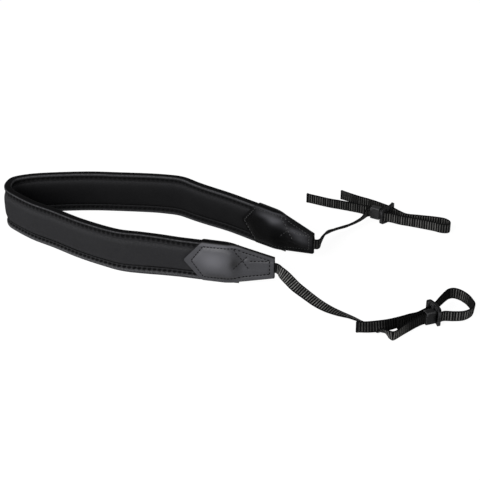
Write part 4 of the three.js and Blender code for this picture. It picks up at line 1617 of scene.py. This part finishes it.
        # Painted shade darkens the stitch grooves, wear and painted highlight lighten the columns by the
        # rims, and painted highlights and shade fall in spots.
        sunk = np.hstack([bell(self.to_row(from_end, over, self.rows()), 0, 0.55), hidden])
        rubbed = np.zeros_like(sunk)
        rubbed[:, self.RUBBED] = 0.7
        polished, shaded = self.handling(from_end, columns)
        masks = {"painted": np.maximum(painted, nose > 0.12), "sunk": sunk, "rubbed": rubbed}
        masks |= {"polished": polished, "shaded": shaded}
        if self.face is Face.INNER:
            outward, columns = -outward[:, ::-1], columns[:, ::-1]
            masks = {label: values[:, ::-1] for label, values in masks.items()}
        piece = skin(f"leather_patch_{self.label}", stations.at(outward, columns), masks=masks)
        piece.data.materials.append(self.LEATHER[self.face].material())
        place_piece(piece, [f"end_patch_{self.label}"])

    def stitch_path(self) -> Path:
        """Where the plate's stitches go, and how light they are.

        Returns:
            A line for each row of stitches, just over the leather.
        """
        lines, worn = [], []
        for ((x0, a0), (x1, a1)), tone in zip(self.rows(), self.TONES[self.face]):
            share = np.linspace(0, 1, max(int(math.hypot(x1 - x0, a1 - a0) / 0.6), 3))
            from_end, across = x0 + share * (x1 - x0), a0 + share * (a1 - a0)
            marks = from_end if self.end is End.LEFT else self.band.route.length - from_end
            stations = self.band.route.stations(marks)
            rise = self.height(from_end[:, None], across[:, None])[:, 0] + 0.12
            points = stations.at(self.face.value * rise[:, None], across[:, None])[:, 0]
            way = np.gradient(points, axis=0)
            lines.append((points, way / np.linalg.norm(way, axis=1)[:, None], self.face.value * stations.out))
            worn.append(np.full(len(points), tone))
        return Path(lines, np.concatenate(worn))

    def stitches(self) -> None:
        """The plate's stitches, in the thread of its face."""
        shape = Stitch(length=2.1, thickness=0.8, dive=0.55).shape("patch_stitch")
        repeat = Repeat(pitch=self.stitch_pitch, inset=1.5, turn_jitter=6.0, seed=21)
        piece = repeat.lay(f"stitches_patch_{self.label}", self.stitch_path(), shape, self.THREAD[self.face])
        place_piece(piece)

    def build(self) -> None:
        """Builds the plate, then its stitches."""
        self.plate()
        self.stitches()


# The webbing --------------------------


@dataclass
class WebbingEnd:
    """One end's strap and lug loop, of ribbed webbing."""

    band: NeckBand
    end: End
    width: float = 10.0
    core: float = 0.7
    step: float = 1.25
    melted: float = 0.52  # half the thickness of the core at a cut end
    rib_pitch: float = 2.5
    rib_length: float = 1.3
    rib_height: float = 0.8
    hidden: float = 29.3  # the length of the strap that is inside the patch and needs no ribs
    strap_slot: float = 5.4
    return_slot: float = 10.2
    loop_front_slot: float = 3.4
    wrap_along: float = 2.7
    wrap_crown: float = 3.1
    wrap_clear: float = 0.4
    far_off: float = 99.0  # added to the distance from an end that isn't cut, so that nothing is melted
    keeper_half: float = 4.7
    in_keeper: float = 1.85  # how far each ply is from the keeper's middle

    SEWN: ClassVar[list[float]] = [33.8, 26, 18, 10, 2, 0]  # the strap's way out of the patch, from its end
    SEEDS: ClassVar[dict[End, int]] = {End.LEFT: 31, End.RIGHT: 41}

    # The core's section, in shares of its half thickness and half width: a flat band with corded edges.
    SECTION: ClassVar[Line] = [
        (1.85, -0.94), (1, -0.84), (1, 0), (1, 0.84), (1.85, 0.94), (1, 1.04), (-1, 1.04), (-1.85, 0.94),
        (-1, 0.84), (-1, 0), (-1, -0.84), (-1.85, -0.94), (-1, -1.04), (1, -1.04),
    ]

    # A rib's section in shares of its half length and height, and for its rings: the place across in
    # shares of the half width, the size, how far it lags behind, and how light it is, with painted shade
    # darkening the ends at the webbing's edges.
    RIB_SECTION: ClassVar[Line] = [
        (1, 0), (0.72, 0.78), (0, 1), (-0.72, 0.78), (-1, 0), (-0.72, -0.78), (0, -1), (0.72, -0.78),
    ]
    RIB_RINGS: ClassVar[list[tuple[float, float, float, float]]] = [
        (-0.97, 0.55, 0.0, 0.0), (-0.88, 0.9, 0.02, 0.6), (-0.66, 1.0, -0.06, 1.0), (-0.3, 0.94, 0.05, 1.0),
        (0.05, 1.0, -0.04, 1.0), (0.4, 0.93, 0.06, 1.0), (0.7, 1.0, -0.05, 1.0), (0.88, 0.9, 0.02, 0.6),
        (0.97, 0.55, 0.0, 0.0),
    ]

    def strap_route(self) -> Route:
        """The strap: sewn into the patch, through the keeper, round the slide's first bar and back.

        Returns:
            The route, as far as the free tail's end.
        """
        tables, band = TABLES[self.end], self.band.route
        sewn = np.array(self.SEWN)
        marks = sewn if self.end is End.LEFT else band.length - sewn
        sewn_in = [Knot(*place) for place in band.stations(marks).place]
        entry, leave = self.keeper_half + 1.8, self.keeper_half + 0.6
        first, back = self.strap_slot, self.return_slot
        round_bar = [
            (-1.2, first), (1.2, first), (self.wrap_along, first + self.wrap_clear),
            (self.wrap_crown, (first + back) / 2), (self.wrap_along, back - self.wrap_clear), (1.2, back),
            (-1.2, back),
        ]
        there, again = (
            [tables.keeper.beside(along, across, tables.strap_turn) for along in way]
            for way, across in (((-entry, leave), -self.in_keeper), ((leave, -entry), self.in_keeper))
        )
        wrap = [tables.slide.beside(along, across, tables.strap_turn) for along, across in round_bar]
        return Route([*sewn_in, *tables.run, *there, *wrap, *again, *tables.tail])

    def loop_route(self) -> Route:
        """The lug loop: its tail behind the keeper, through the last slot, round the lug and back.

        Returns:
            The route, from the free tail to the slide's first slot.
        """
        tables = TABLES[self.end]
        back = tables.slide.beside(0, tables.loop_slot)
        front = [tables.slide.beside(step, self.loop_front_slot) for step in (1, -1.8)]
        return Route([*tables.loop_tail, back, *tables.loop, *front])

    def rib(self) -> Piece:
        """One rib: a rounded bar across the webbing that shows on both its faces.

        Returns:
            The bar, hidden from renders.
        """
        along, above = np.array(self.RIB_SECTION).T
        across, size, lag, lit = np.array(self.RIB_RINGS).T[..., None]
        forward = along * (self.rib_length / 2) * (0.6 + 0.4 * size) + lag
        sideways = np.broadcast_to(-across * self.width / 2, forward.shape)
        rings = np.stack([forward, sideways, above * self.rib_height * size], 2)
        # Painted shade also darkens the rib's sides, where they go down into the grooves.
        lit = lit * (0.1 + 0.9 * np.abs(above))
        return bar_shape("webbing_rib", rings[:, ::-1], {"rib": lit[:, ::-1]})

    def ribbon(self, name: str, route: Route, hidden: float, free_ends: tuple[bool, bool], tone_and_light: Line,
               seed: int) -> Piece:
        """A run of webbing along a route.

        Args:
            name: its name.
            route: where its middle goes.
            hidden: the length at its start that is inside a patch and needs no ribs.
            free_ends: whether its start and its end are cut and melted.
            tone_and_light: how light its ribs are, from 0 to 1, at distances along it, as painted light and
                shade.
            seed: for the small differences between ribs.

        Returns:
            The core and its ribs as one mesh.
        """
        marks = np.linspace(0, route.length, max(int(route.length / self.step), 4))
        extra = [0.25, 0.7, route.length - 0.7, route.length - 0.25]  # where melted ends are round
        stations = route.stations(np.union1d(marks, extra))
        distance = stations.distance[:, None]
        start, stop = (self.far_off * (not free) for free in free_ends)
        near = np.minimum(distance + start, route.length - distance + stop)
        sealed = bell(near, 0, 1.9)
        half = self.core / 2 + (self.melted - self.core / 2) * sealed
        side = self.width / 2 + 0.35 * sealed - 0.8 * bell(near, 0, 0.4)
        outward, across = np.array(self.SECTION).T
        core = skin(f"{name}_core", stations.at(half * outward, side * across), masks={"sealed": sealed})
        marks = np.arange(hidden, route.length, 0.5)
        along = route.stations(marks)
        path = Path([(along.place, along.forward, along.out)], np.interp(marks, *np.transpose(tone_and_light)))
        repeat = Repeat(pitch=self.rib_pitch, inset=3.0, size_jitter=0.04, turn_jitter=1.2, seed=seed)
        return repeat.lay(name, path, self.rib(), STRAP_WEBBING, base=core)

    def build(self) -> None:
        """Builds the strap and the loop."""
        side, tables, seed = self.end.label, TABLES[self.end], self.SEEDS[self.end]
        strap = (self.strap_route(), self.hidden, (False, True), tables.strap_wear, seed)
        loop = (self.loop_route(), 0.0, (True, False), tables.loop_wear, seed + 1)
        for name, node, run in (("strap", "webbing_strap", strap), ("loop", "webbing_loop", loop)):
            piece = self.ribbon(f"{name}_webbing_{side}", *run)
            place_piece(piece, [f"{node}_{side}"])


# The slides and keepers ---------------


def rub_corners(mesh: bpy.types.Mesh, width: float) -> None:
    """Marks the sharp bends of a bevelled mesh as rubbed, for its finish.

    Args:
        mesh: the mesh, in its last shape.
        width: edges shorter than this, in millimetres, are taken as part of a rounded corner.
    """
    work = bmesh.new()
    work.from_mesh(mesh)
    short = [sum(edge.calc_length() < width * MM for edge in vert.link_edges) for vert in work.verts]
    work.free()
    keep_values(mesh, "rubbed", np.array(short) >= 2)


def finish_moulding(piece: Piece, finish: Finish, node: str) -> None:
    """Bakes a moulded piece, maps it in millimetres, rubs its corners and gives it its finish.

    Args:
        piece: the piece, with its modifiers live.
        finish: its finish.
        node: the CAD node that it replaces.
    """
    piece = baked(piece, piece.name)
    mesh = piece.data
    shade_smooth(mesh)
    layer = mesh.uv_layers.get("surface") or mesh.uv_layers.new(name="surface")
    for face in mesh.polygons:
        flat = max(range(3), key=lambda axis: abs(face.normal[axis]))
        first, second = (axis for axis in range(3) if axis != flat)
        for loop in face.loop_indices:
            place = mesh.vertices[mesh.loops[loop].vertex_index].co
            layer.uv[loop].vector = (place[first] / MM, place[second] / MM)
    rub_corners(mesh, 0.45)
    mesh.materials.append(finish.material())
    place_piece(piece, [node])


@dataclass
class Slide:
    """A flat slide with three upright slots, arched in plan."""

    end: End
    width: float = 22.3
    height: float = 17.2
    thickness: float = 3.0
    arch: float = 2.0
    rim: float = 2.5
    slot: float = 3.9
    bar: float = 2.8
    corner: float = 2.4
    slot_height: float = 11.6
    bevel: float = 0.5
    bevel_angle: float = 38.0  # sharper bends than this, in degrees, are rounded

    ROUNDED: ClassVar[list[float]] = [0, 0.3, 0.9, 1.6]  # distances from each side of the columns by a corner

    def columns(self) -> list[tuple[float, bool]]:
        """Each column's start across the slide, and whether a slot is cut through it.

        Returns:
            The columns from one side to the other.
        """
        cuts = [(mark, False) for mark in self.ROUNDED]
        for index in range(3):
            place = self.rim + index * (self.slot + self.bar)
            cuts += [(place, True), (place + self.slot / 2, True), (place + self.slot, False)]
        return cuts + [(self.width - mark, False) for mark in reversed(self.ROUNDED)]

    def grid(self, work: bmesh.types.BMesh) -> None:
        """Makes the plate as a grid of cells, less the slots.

        Args:
            work: the mesh that it is made in, round the origin.
        """
        columns = self.columns()
        lowest = [0.0, (self.height - self.slot_height) / 2]
        levels = [*lowest, self.height / 2, *(self.height - level for level in reversed(lowest))]
        verts = {}
        for c, (mark, _) in enumerate(columns):
            short = max(0.0, self.corner - min(mark, self.width - mark))
            cut = self.corner - math.sqrt(self.corner**2 - short**2)
            bow = self.arch * (1 - ((mark - self.width / 2) / (self.width / 2)) ** 2)
            for level, z in enumerate(levels):
                for side, x in enumerate((bow, bow - self.thickness)):
                    place = Vector((x, mark, min(max(z, cut), self.height - cut)))
                    verts[c, level, side] = work.verts.new(place * MM)
        cells = [(c, level) for c in range(len(columns) - 1) for level in range(len(levels) - 1)]
        solid = {(c, level) for c, level in cells if not (columns[c][1] and level in (1, 2))}
        for c, level in solid:
            loop = [(c, level), (c + 1, level), (c + 1, level + 1), (c, level + 1)]
            work.faces.new([verts[*spot, 0] for spot in loop])
            work.faces.new([verts[*spot, 1] for spot in reversed(loop)])
            beside = [(c, level - 1), (c + 1, level), (c, level + 1), (c - 1, level)]
            for neighbour, a, b in zip(beside, loop, loop[1:] + loop[:1]):
                if neighbour not in solid:
                    work.faces.new([verts[*b, 0], verts[*a, 0], verts[*a, 1], verts[*b, 1]])
        bmesh.ops.recalc_face_normals(work, faces=work.faces)

    def build(self) -> None:
        """Builds the slide and rounds its edges."""
        mesh = bpy.data.meshes.new(f"slide_{self.end.label}")
        work = bmesh.new()
        self.grid(work)
        work.to_mesh(mesh)
        work.free()
        mesh.transform(TABLES[self.end].slide.matrix())
        piece = link(mesh.name, mesh)
        rounded = piece.modifiers.new("rounded", "BEVEL")
        rounded.width, rounded.segments, rounded.limit_method = self.bevel * MM, 3, "ANGLE"
        rounded.angle_limit = math.radians(self.bevel_angle)
        finish_moulding(piece, SATIN_PLASTIC, f"slide_buckle_{self.end.label}")


@dataclass
class Keeper:
    """A rectangular sleeve that holds the folded webbing together."""

    end: End
    length: float = 9.4
    depth: float = 7.2
    height: float = 12.6
    wall: float = 0.8
    corner: float = 1.1
    lip: float = 0.3

    CORNERS: ClassVar[list[tuple[int, int, float]]] = [(1, -1, -90), (1, 1, 0), (-1, 1, 90), (-1, -1, 180)]
    FINISHES: ClassVar[dict[End, Finish]] = {End.LEFT: FADED_PLASTIC, End.RIGHT: SLEEVE_PLASTIC}

    def outline(self) -> Array:
        """The middle of the sleeve's wall, round a rounded rectangle.

        Returns:
            Rows of a place and its outward way, across and up.
        """
        bend = self.corner - self.wall / 2
        reach = np.array([self.depth, self.height]) / 2 - self.wall / 2 - bend
        rows = []
        for corner, following in zip(self.CORNERS, self.CORNERS[1:] + self.CORNERS[:1]):
            centre, target = np.array(corner[:2]) * reach, np.array(following[:2]) * reach
            for angle in np.radians(corner[2] + 15.0 * np.arange(7)):
                way = np.array([math.cos(angle), math.sin(angle)])
                rows.append([*centre + bend * way, *way])
            for share in (0.25, 0.5, 0.75):
                rows.append([*centre + (target - centre) * share + bend * way, *way])
        return np.array(rows)

    def section(self) -> Array:
        """The section of the sleeve's wall.

        Returns:
            Rows of a place along the sleeve and one outward from the wall's middle.
        """
        half, lip, tip, wall = self.length / 2, self.lip, 0.08, self.wall / 2
        outer = [(half - lip, wall), (half - tip, 0.75 * wall), (half, 0.25 * wall), (half, -0.25 * wall),
                 (half - tip, -0.75 * wall), (half - lip, -wall)]
        faces = [(-half * 0.5, wall), (0, wall), (half * 0.5, wall)]
        inner = [(-along, outward) for along, outward in reversed(outer)]
        return np.array([inner[-1], *faces, *outer, (0, -wall), *inner[:-1]])

    def build(self) -> None:
        """Builds the sleeve: the section of its wall, carried round its outline."""
        (y, z, way_y, way_z), (along, outward) = self.outline().T[..., None], self.section().T
        across, up = y + way_y * outward, WEBBING_MIDDLE + z + way_z * outward
        points = np.stack([np.broadcast_to(along, up.shape), across, up], 2)
        piece = skin(f"keeper_sleeve_{self.end.label}", points + BOX_MIDDLE, ring=True)
        piece.data.transform(TABLES[self.end].keeper.matrix())
        finish_moulding(piece, self.FINISHES[self.end], f"keeper_{self.end.label}")


# The studio ---------------------------


@dataclass
class Studio:
    """A pale floor, soft light and the camera."""

    camera_place: tuple[float, float, float] = (0.01365, -1.04362, 0.60601)
    camera_pitch: float = 61.0
    lens: float = 93.75
    floor_half: float = 6.0
    floor_height: float = -2e-4

    LAMPS: ClassVar[dict[str, tuple[tuple[float, float, float], float, float]]] = {  # place, size, power
        "front_softbox": ((-1.12, -1.25, 0.9), 1.4, 30.0),
        "side_softbox": ((1.5, -1.0, 0.7), 0.7, 2.5),
    }

    def floor(self) -> None:
        """A wide pale floor just under the strap, plain white to the camera."""
        mesh = bpy.data.meshes.new("floor")
        corners = [(-1, -1), (1, -1), (1, 1), (-1, 1)]
        places = [(x * self.floor_half, y * self.floor_half, self.floor_height) for x, y in corners]
        mesh.from_pydata(places, [], [(0, 1, 2, 3)])
        material, nodes = empty_material("pale_floor")
        seen = nodes.add("ShaderNodeLightPath")["Is Camera Ray"]
        feeds = {
            "Base Color": nodes.coats((0.8, 0.8, 0.8), (seen, (0.2, 0.2, 0.2))),
            "Emission Strength": nodes.math("MULTIPLY_ADD", seen, 0.83, 0.1),
            "Emission Color": (1, 1, 1, 1), "Roughness": 1.0, "Specular IOR Level": 0.0,
        }
        shader = nodes.add("ShaderNodeBsdfPrincipled", feeds)
        nodes.add("ShaderNodeOutputMaterial", {"Surface": shader[0]})
        mesh.materials.append(material)
        link("floor", mesh)

    def lights(self) -> None:
        """A large soft light at the front and left, a weaker one at the right, and an even room."""
        for name, (place, size, power) in self.LAMPS.items():
            light = bpy.data.lights.new(name, "AREA")
            light.size, light.energy = size, power
            lamp = link(name, light)
            lamp.location = place
            lamp.rotation_euler = (-Vector(place)).to_track_quat("-Z", "Y").to_euler()
        world = bpy.data.worlds.new("studio_room")
        world.use_nodes = True
        background = world.node_tree.nodes["Background"].inputs
        background[0].default_value, background[1].default_value = (1, 1, 1, 1), 0.25
        bpy.context.scene.world = world

    def camera(self) -> None:
        """The camera, looking down at the strap from the front."""
        lens = bpy.data.cameras.new("camera")
        lens.lens, lens.sensor_width = self.lens, 36.0
        lens.clip_start, lens.clip_end = 0.01, 50.0
        camera = link("camera", lens)
        camera.location = self.camera_place
        camera.rotation_euler = (math.radians(self.camera_pitch), 0, 0)
        bpy.context.scene.camera = camera

    def build(self) -> None:
        """Builds the floor, the lights and the camera, and shows colours plainly."""
        bpy.context.scene.view_settings.view_transform = "Standard"
        self.camera()
        self.floor()
        self.lights()


def main() -> None:
    """Builds the studio and every piece of the strap, in order."""
    logging.basicConfig(level=logging.INFO, format="%(name)s: %(message)s")
    Studio().build()
    band = NeckBand()
    band.build()
    for end in End:
        for face in Face:
            EndPatch(band, end, face).build()
    for end in End:
        WebbingEnd(band, end).build()
        Slide(end).build()
        Keeper(end).build()


if __name__ == "__main__":
    main()
